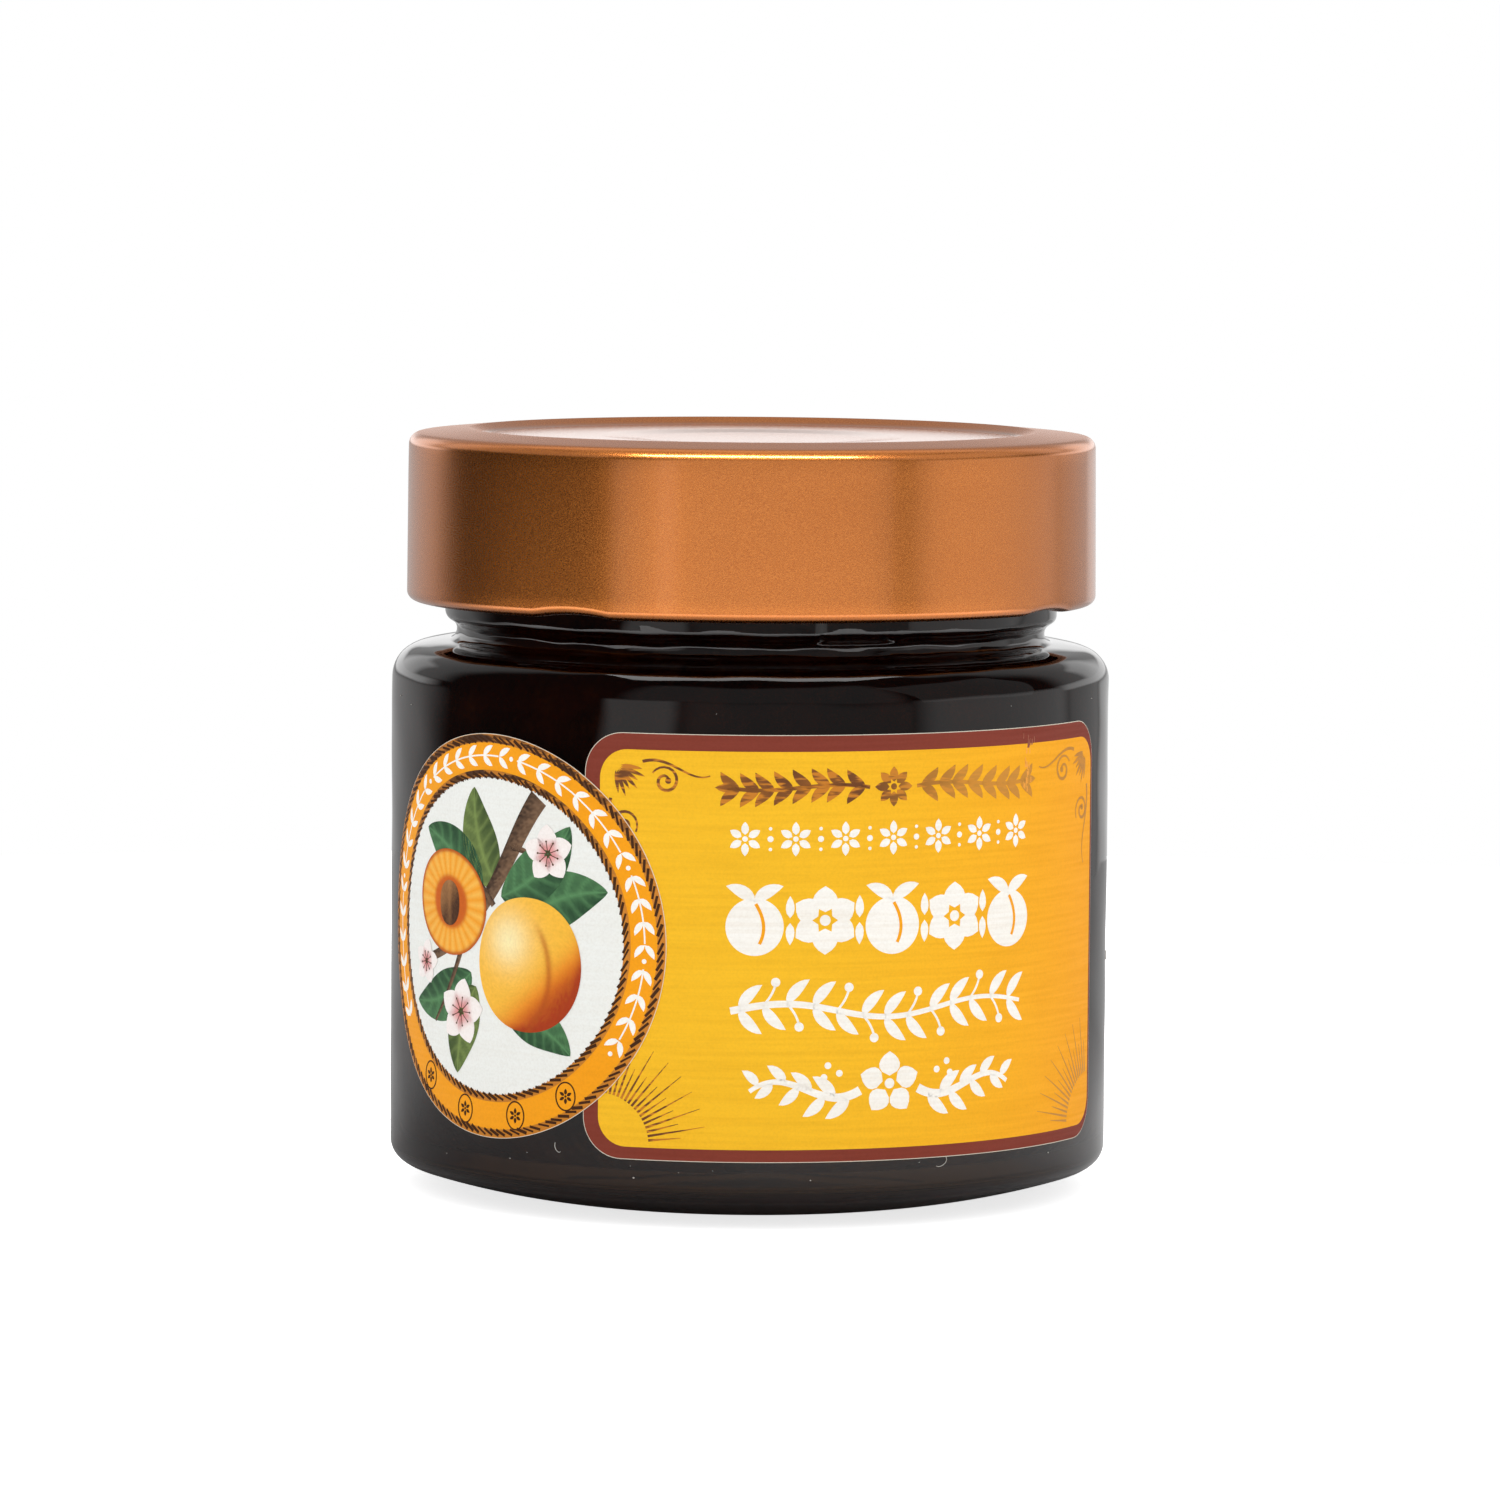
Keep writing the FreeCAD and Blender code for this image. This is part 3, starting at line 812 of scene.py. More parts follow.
@dataclass
class TwistLid(Maker):
    """Drawn tinplate lid: sunk button, panel, crest, deep skirt, curl and four pressed lugs."""

    sheet: float = 0.18
    corner_drop: float = 0.58
    flare: float = 0.15
    corner_r: float = 1.25
    crest_r: float = 29.9
    crest_bend: float = 0.5
    recess_depth: float = 0.72
    recess_slope: float = 1.9
    button_r: float = 12.0
    button_sink: float = 0.2
    button_slope: float = 4.0
    button_bend: float = 6.0
    curl_width: float = 1.95
    curl_bend: float = 0.95
    curl_lip: float = 1.2
    lug_tip_r: float = 32.8
    lug_arc: float = 15.0
    first_lug: float = -120.7
    lug_fade: float = 3.0
    dimple_rise: float = 0.4
    dimple_width: float = 9.0
    dimple_fade: Pair = (1.2, 2.6)
    ripple: float = 0.03
    ripple_r: Pair = (34.0, 36.0)
    ripple_drop: Pair = (1.5, 4.0)
    turns: int = 320

    def outline(self) -> Array:
        """The sheet's outer face from the middle to the curl, and back along its inner face.

        The inner face is the outer one moved by the sheet's thickness along its normal.
        """
        low, curl_r = self.datum.lid_low, self.datum.lid_r
        crest_z = self.datum.lid_high + 0.03
        panel = crest_z - self.recess_depth
        inside = curl_r - self.curl_width
        outer = deduped(bent([
            (0, panel - self.button_sink, 0),
            (self.button_r, panel - self.button_sink, self.button_bend),
            (self.button_r + self.button_slope, panel, self.button_bend),
            (self.crest_r - self.recess_slope, panel, self.crest_bend),
            (self.crest_r, crest_z, self.crest_bend),
            (curl_r - self.flare, crest_z - self.corner_drop, self.corner_r),
            (curl_r, low, self.curl_bend),
            (inside, low, self.curl_bend),
            (inside, low + self.curl_width, self.curl_bend),
            (inside + self.curl_lip, low + self.curl_width, 0),
        ], 1.5))
        way = np.gradient(outer, axis=0)
        way /= np.hypot(way[:, 0], way[:, 1])[:, None]
        inner = outer + self.sheet * np.stack([way[:, 1], -way[:, 0]], axis=-1)
        inner[0, 0] = 0.0
        return np.concatenate([outer, inner[::-1]])

    def shift(self, r: Array, z: Array, angle: Array) -> tuple[Array, Array]:
        """Presses each lug in and lifts the edge there, and lets the skirt ripple a hair.

        A lug is where the curl's inner half moves in to the lug's tip, over its arc. The lift is
        a parabola over the dimple's width, full at the curl's bottom and gone above dimple_fade.
        """
        low, high, curl_r = self.datum.lid_low, self.datum.lid_high, self.datum.lid_r
        out = np.zeros(np.broadcast(r, angle).shape)
        up = np.zeros_like(out)
        inside = curl_r - self.curl_width
        near = fading(z - low, self.dimple_fade)
        pull = ease(-r, -curl_r + 0.35, -inside) * ease(r, self.lug_tip_r, inside)
        for k in range(4):
            away = apart(np.degrees(angle), self.first_lug + 90 * k)
            arc = ease((self.lug_arc + self.lug_fade) / 2 - np.abs(away), 0, self.lug_fade)
            out -= (inside - self.lug_tip_r) * arc * near * pull
            span = np.radians(away) * curl_r / (self.dimple_width / 2)
            up += self.dimple_rise * np.clip(1 - span**2, 0, 1) * near
        ripple = swell(angle, z, (1.0, 2, 0.0, 0.4), (0.5, 5, 0.1, 2.0))
        out += self.ripple * ripple * ease(r, *self.ripple_r) * ease(high - z, *self.ripple_drop)
        return out, up

    def build(self) -> None:
        """Turns the sheet and dresses it in satin copper."""
        shape = turned(self.outline(), self.turns, self.shift)
        finish = SatinCopper(curl_z=self.datum.lid_low * MM)
        self.fix(shape.piece("twist_lid", finish.material()), "lid_metal", "lid")


@dataclass
class SealingRing(Maker):
    """The compound in the lid's channel keeps its packed form and gets its finish."""

    def build(self) -> None:
        """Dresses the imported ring."""
        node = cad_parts["lid_seal"]
        node.data.materials.clear()
        node.data.materials.append(Plastisol().material())
        LOG.info("lid_seal dressed")


# ---------------------------------------------------------------- print on the wall


@dataclass(frozen=True)
class Wall:
    """The jar's wall as a sheet: a place (s, z) at height h is (R + h) (sin s/R, -cos s/R), z.

    Right of lap_from the surface rises smoothly by lap_rise, where one label laps over another.
    """

    radius: float
    lap_from: float = math.inf
    lap_rise: float = 0.0
    lap_width: float = 1.7

    def space(self, s: Array, z: Array, height: Array) -> Array:
        """Points in space of flat places at heights above the wall."""
        r = self.radius + height + np.zeros(np.shape(s))
        if math.isfinite(self.lap_from):
            r = r + self.lap_rise * ease(s, self.lap_from - self.lap_width, self.lap_from)
        turn = s / self.radius
        return np.stack([r * np.sin(turn), -r * np.cos(turn), np.broadcast_to(z, r.shape)], axis=-1)


def curve(places: Sequence[Pair | Array], step: float = 0.4) -> Array:
    """A Bezier curve with these control places: the sum of each times its Bernstein weight."""
    control = np.array(places, float)
    length = np.hypot(*np.diff(control, axis=0).T).sum()
    t = np.linspace(0, 1, max(6, math.ceil(length / step)))[:, None]
    order = len(control) - 1
    return sum(math.comb(order, k) * t**k * (1 - t) ** (order - k) * place
               for k, place in enumerate(control))


def swing(start: Pair, side: int, *steps: Pair) -> Array:
    """A curve whose control places are steps from start, to the right or, where side is -1, to the left."""
    return curve([(start[0] + side * s, start[1] + z) for s, z in steps])


def at_share(path: Array, share: float) -> Array:
    """The place at a share of the path."""
    return path[int(share * (len(path) - 1))]


@dataclass
class Pen:
    """Lays shapes of ink or paper on the wall, from height low to height high."""

    wall: Wall
    low: float
    high: float
    colour: Colour
    shapes: list[Shape] = field(default_factory=list)

    def line(self, path: Array, width: Array | float, paint: Paint | None = None, closed: bool = False,
             across: int = 0) -> None:
        """A line of changing width along a path.

        Its section has points across the top at height high and one below each edge at height
        low. A place on it is path(t) + v * width(t) / 2 to the left, with v from 1 to -1.

        Args:
            path: (n, 2) places of the middle line.
            width: full width at each place.
            paint: colour from t and v; the pen's own colour where it is left out.
            closed: whether the path is a ring whose last place isn't its first.
            across: points across the top; worked out from the width where it is 0.
        """
        count = len(path)
        width = np.broadcast_to(np.maximum(width, 0.012), count)
        ahead = np.roll(path, -1, axis=0) - np.roll(path, 1, axis=0)
        way = ahead if closed else np.gradient(path, axis=0)
        way = way / np.maximum(np.hypot(way[:, 0], way[:, 1]), 1e-9)[:, None]
        left = np.stack([-way[:, 1], way[:, 0]], axis=-1)
        across = across or max(2, math.ceil(float(width.max()) / 0.7) + 1)
        v = np.linspace(1, -1, across)
        top = path[:, None, :] + left[:, None, :] * (width[:, None] * v / 2)[..., None]
        flat = np.concatenate([top, top[:, [-1, 0]]], axis=1)
        height = np.full((count, across + 2), self.high)
        height[:, across:] = self.low
        points = self.wall.space(flat[..., 0], flat[..., 1], height).reshape(-1, 3)
        if paint is None:
            ink = np.broadcast_to(np.asarray(self.colour), (count, across, 3))
        else:
            ink = paint(np.linspace(0, 1, count)[:, None], v[None, :])
        ink = np.concatenate([ink, ink[:, [-1, 0]]], axis=1).reshape(-1, 3)
        faces = [loop_faces(count, across + 2, closed)]
        if not closed:
            ends = np.arange(across + 2)
            faces += [ends[::-1][None, :], (count - 1) * (across + 2) + ends[None, :]]
        self.shapes.append(Shape(points, faces, ink))

    def plate(self, left: float, right: float, low: float, high: float, radius: float,
              paint: Paint | None = None) -> None:
        """A rounded oblong: a line along s whose width shrinks in the corners as r (1 - sin)."""
        turn = np.radians(np.linspace(0, 90, 14))
        count = math.ceil((right - left - 2 * radius) / 0.5)
        ends = radius * (1 - np.cos(turn))
        straight = np.linspace(left + radius, right - radius, count)[1:-1]
        s = np.concatenate([left + ends, straight, (right - ends)[::-1]])
        inset = radius * (1 - np.sin(turn))
        inset = np.concatenate([inset, np.zeros(count - 2), inset[::-1]])
        path = np.stack([s, np.full(len(s), (low + high) / 2)], axis=-1)
        self.line(path, high - low - 2 * inset, paint, across=2)

    def dot(self, centre: Pair, width: float, height: float = 0.0, count: int = 12) -> None:
        """An oval spot, round where it has no height: a line along s as wide as its chord."""
        turn = np.linspace(math.pi, 0, count)
        path = np.stack([centre[0] + width / 2 * np.cos(turn), np.full(count, centre[1])], axis=-1)
        self.line(path, (height or width) * np.sin(turn), across=2)

    def disc(self, centre: Pair, radius: float) -> None:
        """A round sheet."""
        self.dot(centre, 2 * radius, count=max(12, math.ceil(math.pi * radius / 0.38)))

    def oval(self, centre: Array, reach: Pair, count: int, width: float) -> None:
        """A closed oval line."""
        turn = np.arange(count) * math.tau / count
        ring = np.stack([np.cos(turn), np.sin(turn)], axis=-1)
        self.line(centre + np.array(reach) * ring, width, closed=True)

    def leaf(self, foot: Pair, tip: Pair, width: float, bend: float = 0.0, paint: Paint | None = None,
             fine: bool = False) -> None:
        """A pointed leaf: its width is a power of sin pi t, along a line bent to the left."""
        a, b = np.array(foot, float), np.array(tip, float)
        way = b - a
        path = curve([a, (a + b) / 2 + bend * np.array([-way[1], way[0]]), b], 0.26 if fine else 0.4)
        t = np.linspace(0, 1, len(path))
        self.line(path, width * np.sin(math.pi * t**0.85) ** 0.75, paint, across=13 if fine else 0)

    def curl(self, centre: Pair, radius: float, start: float, turns: float, width: float) -> None:
        """A scroll: its radius falls evenly to a fifth as it turns, and it ends in a spot."""
        count = max(10, math.ceil(abs(turns) * math.tau * radius * 0.6 / 0.3))
        t = np.linspace(0, 1, count)
        angle = math.radians(start) + math.tau * turns * t
        path = np.array(centre) + (radius * (1 - 0.8 * t) * np.stack([np.cos(angle), np.sin(angle)])).T
        self.line(path, width * (0.55 + 0.45 * np.sin(math.pi * t)))
        self.dot(path[-1], width * 1.9)

    def flower(self, centre: Pair, radius: float, petals: int, width: float) -> None:
        """Petals round a spot."""
        for k in range(petals):
            way = polar(90 + 360 * k / petals, radius)
            self.leaf(centre + way * 0.24, centre + way, width)
        self.dot(centre, radius * 0.32)

    def patch(self, centre: Array, reach: Callable[[Array], Array], paint: Paint, rings: int,
              spokes: int) -> None:
        """A filled shape given by its reach at each angle: place = centre + rho reach(a) (cos a, sin a).

        Args:
            centre: its middle.
            reach: distance of the outline at each angle.
            paint: colour from rho cos a and rho sin a, in -1..1.
            rings: rings from the middle to the outline.
            spokes: angles.
        """
        turn = np.arange(spokes)[None, :] * math.tau / spokes
        rho = np.concatenate([np.arange(1, rings + 1), np.arange(rings, 0, -1)])[:, None] / rings
        height = np.where(np.arange(2 * rings)[:, None] < rings, self.high, self.low) + 0 * turn
        x, y, away = rho * np.cos(turn), rho * np.sin(turn), reach(turn)
        points = self.wall.space(centre[0] + away * x, centre[1] + away * y, height).reshape(-1, 3)
        colours = paint(x, y).reshape(-1, 3)
        poles = self.wall.space(np.full(2, centre[0]), np.full(2, centre[1]), np.array([self.high, self.low]))
        faces = [loop_faces(2 * rings, spokes, False), *fans(spokes, (2 * rings - 1) * spokes, len(points))]
        colours = np.concatenate([colours, paint(np.zeros(2), np.zeros(2))])
        self.shapes.append(Shape(np.concatenate([points, poles]), faces, colours))

    def piece(self, name: str, material: bpy.types.Material) -> bpy.types.Object:
        """All that this pen laid, as one object."""
        return joined(self.shapes).piece(name, material)


@dataclass
class Label(Maker):
    """What both labels share: a sheet of paper and layers of ink on the wall."""

    sheet: float = 0.085
    ink: float = 0.012
    foot: float = -0.03

    def wall(self) -> Wall:
        """The surface it lies on."""
        return Wall(self.datum.wall_r)

    def pen(self, layer: int, colour: Ink) -> Pen:
        """A pen whose ink tops out at a layer and reaches down into the one below; paper is layer 0."""
        low = (self.foot, 0.0)[layer] if layer < 2 else self.sheet + self.ink * (layer - 2)
        return Pen(self.wall(), low, self.sheet + self.ink * layer, colour.value)


@dataclass
class WrapLabel(Label):
    """The main label: paper, maroon border, warm field, bronze corners and rows of ornament."""

    corner_r: float = 4.2
    margin: float = 0.07
    border: float = 1.7
    border_right: float = 0.5
    border_low: float = 1.3
    field_r: float = 3.0
    row_left: float = -3.0
    row_right: float = 33.0
    row_z: tuple[float, ...] = (45.35, 40.15, 31.85, 22.6, 15.0)
    scuff_s: float = 32.3
    scuff_strokes: int = 26

    def build(self) -> None:
        """Lays paper, border, field and ornament."""
        left, right, low, high = self.datum.label
        finish = PrintedPaper().material()
        paper = self.pen(0, Ink.CREAM)
        paper.plate(left, right, low, high, self.corner_r)
        self.fix(paper.piece("label_paper", finish), "label_paper", "main_label")

        border, edge = self.pen(1, Ink.MAROON), self.margin
        border.plate(left + edge, right - edge, low + edge, high - edge, self.corner_r - edge)
        self.fix(border.piece("label_border", finish), "label_paper")

        def warm(t: Array, v: Array) -> Array:
            """Yellow that turns amber towards the right."""
            return blend(Ink.YELLOW.value, Ink.AMBER.value, ease(t, 0.3, 1.0) + 0 * v)

        panel = self.pen(2, Ink.YELLOW)
        panel.plate(left + self.border, right - self.border_right, low + self.border_low,
                    high - self.border, self.field_r, warm)
        self.fix(panel.piece("label_field", finish), "label_paper")

        bronze = self.pen(3, Ink.BRONZE)
        self.corners(bronze)
        self.laurel_row(bronze)
        # The bronze foil's painted reflection makes it paler towards the label's right.
        self.fix(bronze.piece("label_bronze", BronzeFoil().material()), "label_paper")

        white, crease = self.pen(3, Ink.WHITE), self.pen(4, Ink.AMBER)
        rose, peach = self.pen(3, Ink.ROSE), self.pen(3, Ink.PEACH)
        self.blossom_row(white)
        self.fruit_row(white, crease)
        self.branch_row(white)
        self.garland_row(white)
        self.scuff(rose, peach)
        white.shapes += crease.shapes + rose.shapes + peach.shapes
        self.fix(white.piece("label_white", finish), "label_paper")

    def spots(self, count: int) -> tuple[Array, Array]:
        """Evenly spread places along a row, and those halfway between them."""
        pitch = (self.row_right - self.row_left) / count
        spots = self.row_left + pitch * (np.arange(count) + 0.5)
        return spots, (spots[:-1] + spots[1:]) / 2

    def laurel_row(self, pen: Pen) -> None:
        """Top row: two laurel branches that run out from a middle flower."""
        middle = ((self.row_left + self.row_right) / 2, self.row_z[0])
        pen.flower(middle, 2.05, 8, 0.95)
        for side in (-1, 1):
            stem = swing(middle, side, (2.6, 0), (8, 0.9), (12, -0.9), (17.2, 0))
            pen.line(stem, 0.4)
            for share in np.linspace(0.04, 0.93, 8):
                foot = at_share(stem, share)
                for up in (-1, 1):
                    pen.leaf(foot, foot + (side * 2.0, up * 1.75), 1.0, -0.2 * up * side)
            pen.leaf(stem[-3], stem[-1] + (side * 1.3, 0), 0.9)

    def blossom_row(self, pen: Pen) -> None:
        """Second row: small six-petal flowers, with three seeds between each two."""
        z = self.row_z[1]
        spots, between = self.spots(7)
        for s in spots:
            pen.flower((s, z), 1.75, 6, 0.78)
        for s in between:
            for up, size in ((0, 0.62), (-1.05, 0.36), (1.05, 0.36)):
                pen.dot((s, z + up), size)

    def fruit_row(self, pen: Pen, crease: Pen) -> None:
        """Third row, the boldest: round fruits with two leaves and a crease, and broad flowers between."""
        z = self.row_z[2]
        spots, between = self.spots(5)
        for k, s in enumerate(spots):
            if k % 2:
                pen.flower((s, z), 3.5, 6, 2.6)
                continue
            pen.disc((s, z - 0.65), 2.95)
            for side in (-1, 1):
                pen.leaf((s, z + 1.9), (s + side * 2.9, z + 3.5), 1.3, 0.18 * side)
            crease.line(swing((s, z), 1, (0.1, 1.7), (1.5, -0.5), (0.5, -2.4)), 0.34)
        for s in between:
            for up in (-1, 1):
                pen.leaf((s, z + 0.25 * up), (s, z + 2.5 * up), 0.9)

    def branch_row(self, pen: Pen) -> None:
        """Fourth row: one waving branch with paired leaves and berries."""
        s = np.linspace(self.row_left + 1.2, self.row_right - 1.8, 110)
        wave = 0.75 * np.sin((s - s[0]) / (s[-1] - s[0]) * 1.5 * math.tau)
        stem = np.stack([s, self.row_z[3] + wave], axis=-1)
        pen.line(stem, np.linspace(0.75, 0.4, len(s)))
        for k, share in enumerate(np.linspace(0.03, 0.95, 13)):
            foot = at_share(stem, share)
            for up in (-1, 1):
                if (k + (up > 0)) % 3 == 2:
                    pen.line(swing(foot, 1, (0, 0), (0.9, 0.9 * up), (1.2, 2.0 * up)), 0.24)
                    pen.dot(foot + (1.25, 2.35 * up), 0.95)
                else:
                    pen.leaf(foot, foot + (2.3, 2.5 * up), 1.15, 0.16 * up)

    def garland_row(self, pen: Pen) -> None:
        """Fifth row: a blossom with leafy sprays to both sides."""
        middle = ((self.row_left + self.row_right) / 2 - 0.2, self.row_z[4])
        pen.flower(middle, 3.3, 5, 2.3)
        for side in (-1, 1):
            stem = swing(middle, side, (3.2, -0.6), (7.5, -3.2), (10.5, 2.6), (14.6, -0.6))
            pen.line(stem, np.linspace(0.95, 0.45, len(stem)))
            for k, share in enumerate(np.linspace(0.1, 0.94, 8)):
                foot = at_share(stem, share)
                up = 1 if k % 2 else -1
                reach = 2.5 - 0.9 * share
                pen.leaf(foot, foot + (side * reach, up * reach * 0.95), 1.25 - 0.3 * share, 0.15 * up * side)
            for near, up in ((5.4, 1.2), (6.6, 2.0), (7.0, 0.8)):
                pen.dot((middle[0] + side * near, middle[1] + up), 0.7)

    def scuff(self, border: Pen, panel: Pen) -> None:
        """A faint rubbed streak at the top right, paler on the border and pinkish on the field."""
        random = np.random.default_rng(3)
        top = self.datum.label[3]
        for k in range(self.scuff_strokes):
            pen, high, low = (panel, top - 2.0, top - 6.5) if k % 3 else (border, top - 0.2, top - 1.6)
            s = self.scuff_s + 0.28 * random.normal()
            start = random.uniform(low, high)
            path = np.array([(s, start), (s + 0.02, start - 0.3), (s, start - 0.6)])
            pen.line(path, 0.08 + 0.14 * random.random())

    def corners(self, pen: Pen) -> None:
        """Corner ornament: scrolls and a fan of petals above, quarter suns below."""
        left, right, low, high = self.datum.label
        sides = ((1, left + self.border), (-1, right - self.border_right))
        for side, edge in sides:
            top = high - self.border
            corner = np.array([edge + side * 1.6, top - 1.5])
            for k in range(7):
                way = polar(-8 - 74 * k / 6) * (side, 1)
                pen.leaf(corner + way * 0.7, corner + way * (3.0 + 0.5 * (k % 2)), 0.42)
            for s, z, start, turns, tip, steps in (
                (7.0, -3.1, 90, -1.4, 0.14, ((4.6, -1.2), (7.4, -0.2), (9.5, -3.4), (11.6, -2.5))),
                (2.6, -7.6, -90, 1.4, 0.12, ((1.2, -5.0), (0.5, -8.4), (3.4, -10.4), (2.0, -13.2))),
            ):
                pen.curl((edge + side * s, top + z), 1.55, start + side * 60, side * turns, 0.34)
                stem = swing((edge, top), side, *steps)
                pen.line(stem, np.linspace(0.34, tip, len(stem)))
        for side, edge in sides:
            corner = np.array([edge + side * 0.3, low + self.border_low + 0.2])
            for k in range(17):
                way = polar(6 + 78 * k / 16) * (side, 1)
                reach = 8.6 + (2.6 if k % 2 else 0.0)
                pen.line(np.stack([corner + way * d for d in np.linspace(5.2, reach, 8)]),
                         0.26 * (1 - np.linspace(0, 0.8, 8)))


@dataclass
class Medallion(Label):
    """The round label: rope edges, an orange ring with a garland, and a picture of fruit."""

    lap: float = 0.125
    rope: float = 0.85
    inner_r: float = 16.35
    garland_r: float = 18.6
    seed: int = 11

    def __post_init__(self) -> None:
        """Works out the middle and the radius."""
        left, right, low, high = self.datum.medal
        self.radius = (high - low) / 2
        self.centre = np.array([(left + right) / 2, (low + high) / 2])

    def wall(self) -> Wall:
        """The glass, and the end of the main label that it laps over."""
        return Wall(self.datum.wall_r, self.datum.label[0], self.lap)

    def build(self) -> None:
        """Lays paper, rings, garland and picture."""
        finish = PrintedPaper("medallion_print", (0.34, 0.5), 0.07, 0.000015).material()
        # The rope's foil: painted reflection makes it darker at the top of the medallion and paler lower
        # down.
        foil = BronzeFoil("rope_foil", linear(66, 34, 8), linear(196, 120, 22), linear(214, 132, 22), "Z",
                          (0.046, 0.034), -0.7).material()
        paper, ring, disc = self.pen(0, Ink.CREAM), self.pen(1, Ink.ORANGE), self.pen(2, Ink.CARD)
        paper.disc(self.centre, self.radius)
        ring.disc(self.centre, self.radius - 0.06)
        disc.disc(self.centre, self.inner_r)
        self.fix(paper.piece("medallion_paper", finish), "medallion_paper", "medallion_label")

        rope, strands, white = self.pen(2, Ink.BRONZE), self.pen(3, Ink.UMBER), self.pen(2, Ink.WHITE)
        for radius in (self.radius - 0.08 - self.rope / 2, self.inner_r + self.rope / 2 - 0.1):
            rope.oval(self.centre, (radius, radius), math.ceil(math.tau * radius / 0.4), self.rope)
            self.strands(strands, radius)
        self.medals(strands)
        self.garland(white)
        for pen, name, dress in ((ring, "ring", finish), (disc, "disc", finish), (rope, "rope", foil),
                                 (strands, "strands", finish), (white, "garland", finish)):
            self.fix(pen.piece("medallion_" + name, dress), "medallion_paper")
        picture = joined(FruitPicture(self).shapes())
        self.fix(picture.piece("medallion_picture", finish), "medallion_paper")

    def at(self, radius: float, angle: float) -> Array:
        """The place at a radius and an angle in degrees about the middle."""
        return self.centre + polar(angle, radius)

    def strands(self, pen: Pen, radius: float) -> None:
        """Slanting strokes that twist the band into a rope."""
        count = round(math.tau * radius / 0.95)
        random = np.random.default_rng(self.seed)
        lean = math.degrees(0.75 / radius)
        half = self.rope / 2 - 0.05
        for k in range(count):
            angle = 360 * (k + 0.25 * random.random()) / count
            foot, tip = self.at(radius - half, angle - lean), self.at(radius + half, angle + lean)
            pen.line(curve([foot, (foot + tip) / 2, tip], 0.5)[::2], 0.2 + 0.16 * random.random())

    def medals(self, pen: Pen) -> None:
        """Four small ovals with a flower, low on the orange ring."""
        for angle in (-124, -102, -79, -58):
            middle = self.at(self.garland_r, angle)
            pen.oval(middle, (1.15, 1.45), 27, 0.15)
            pen.flower(middle, 0.8, 6, 0.34)

    def garland(self, pen: Pen) -> None:
        """White laurel sprigs round the top of the ring, from lower left to lower right."""
        for start, end in ((212, 168), (163, 128), (123, 84), (79, 28), (23, -2), (-7, -34)):
            stem = np.array([self.at(self.garland_r, a) for a in np.linspace(start, end + 3, 24)])
            pen.line(stem, 0.17)
            for angle in np.linspace(start - 3, end, max(3, round((start - end) / 7))):
                foot = self.at(self.garland_r, angle + 2.6)
                for out in (-1, 1):
                    pen.leaf(foot, self.at(self.garland_r + 1.05 * out, angle - 1.6), 0.66, 0.14 * out)
            pen.dot(self.at(self.garland_r, end - 2.5), 0.5)


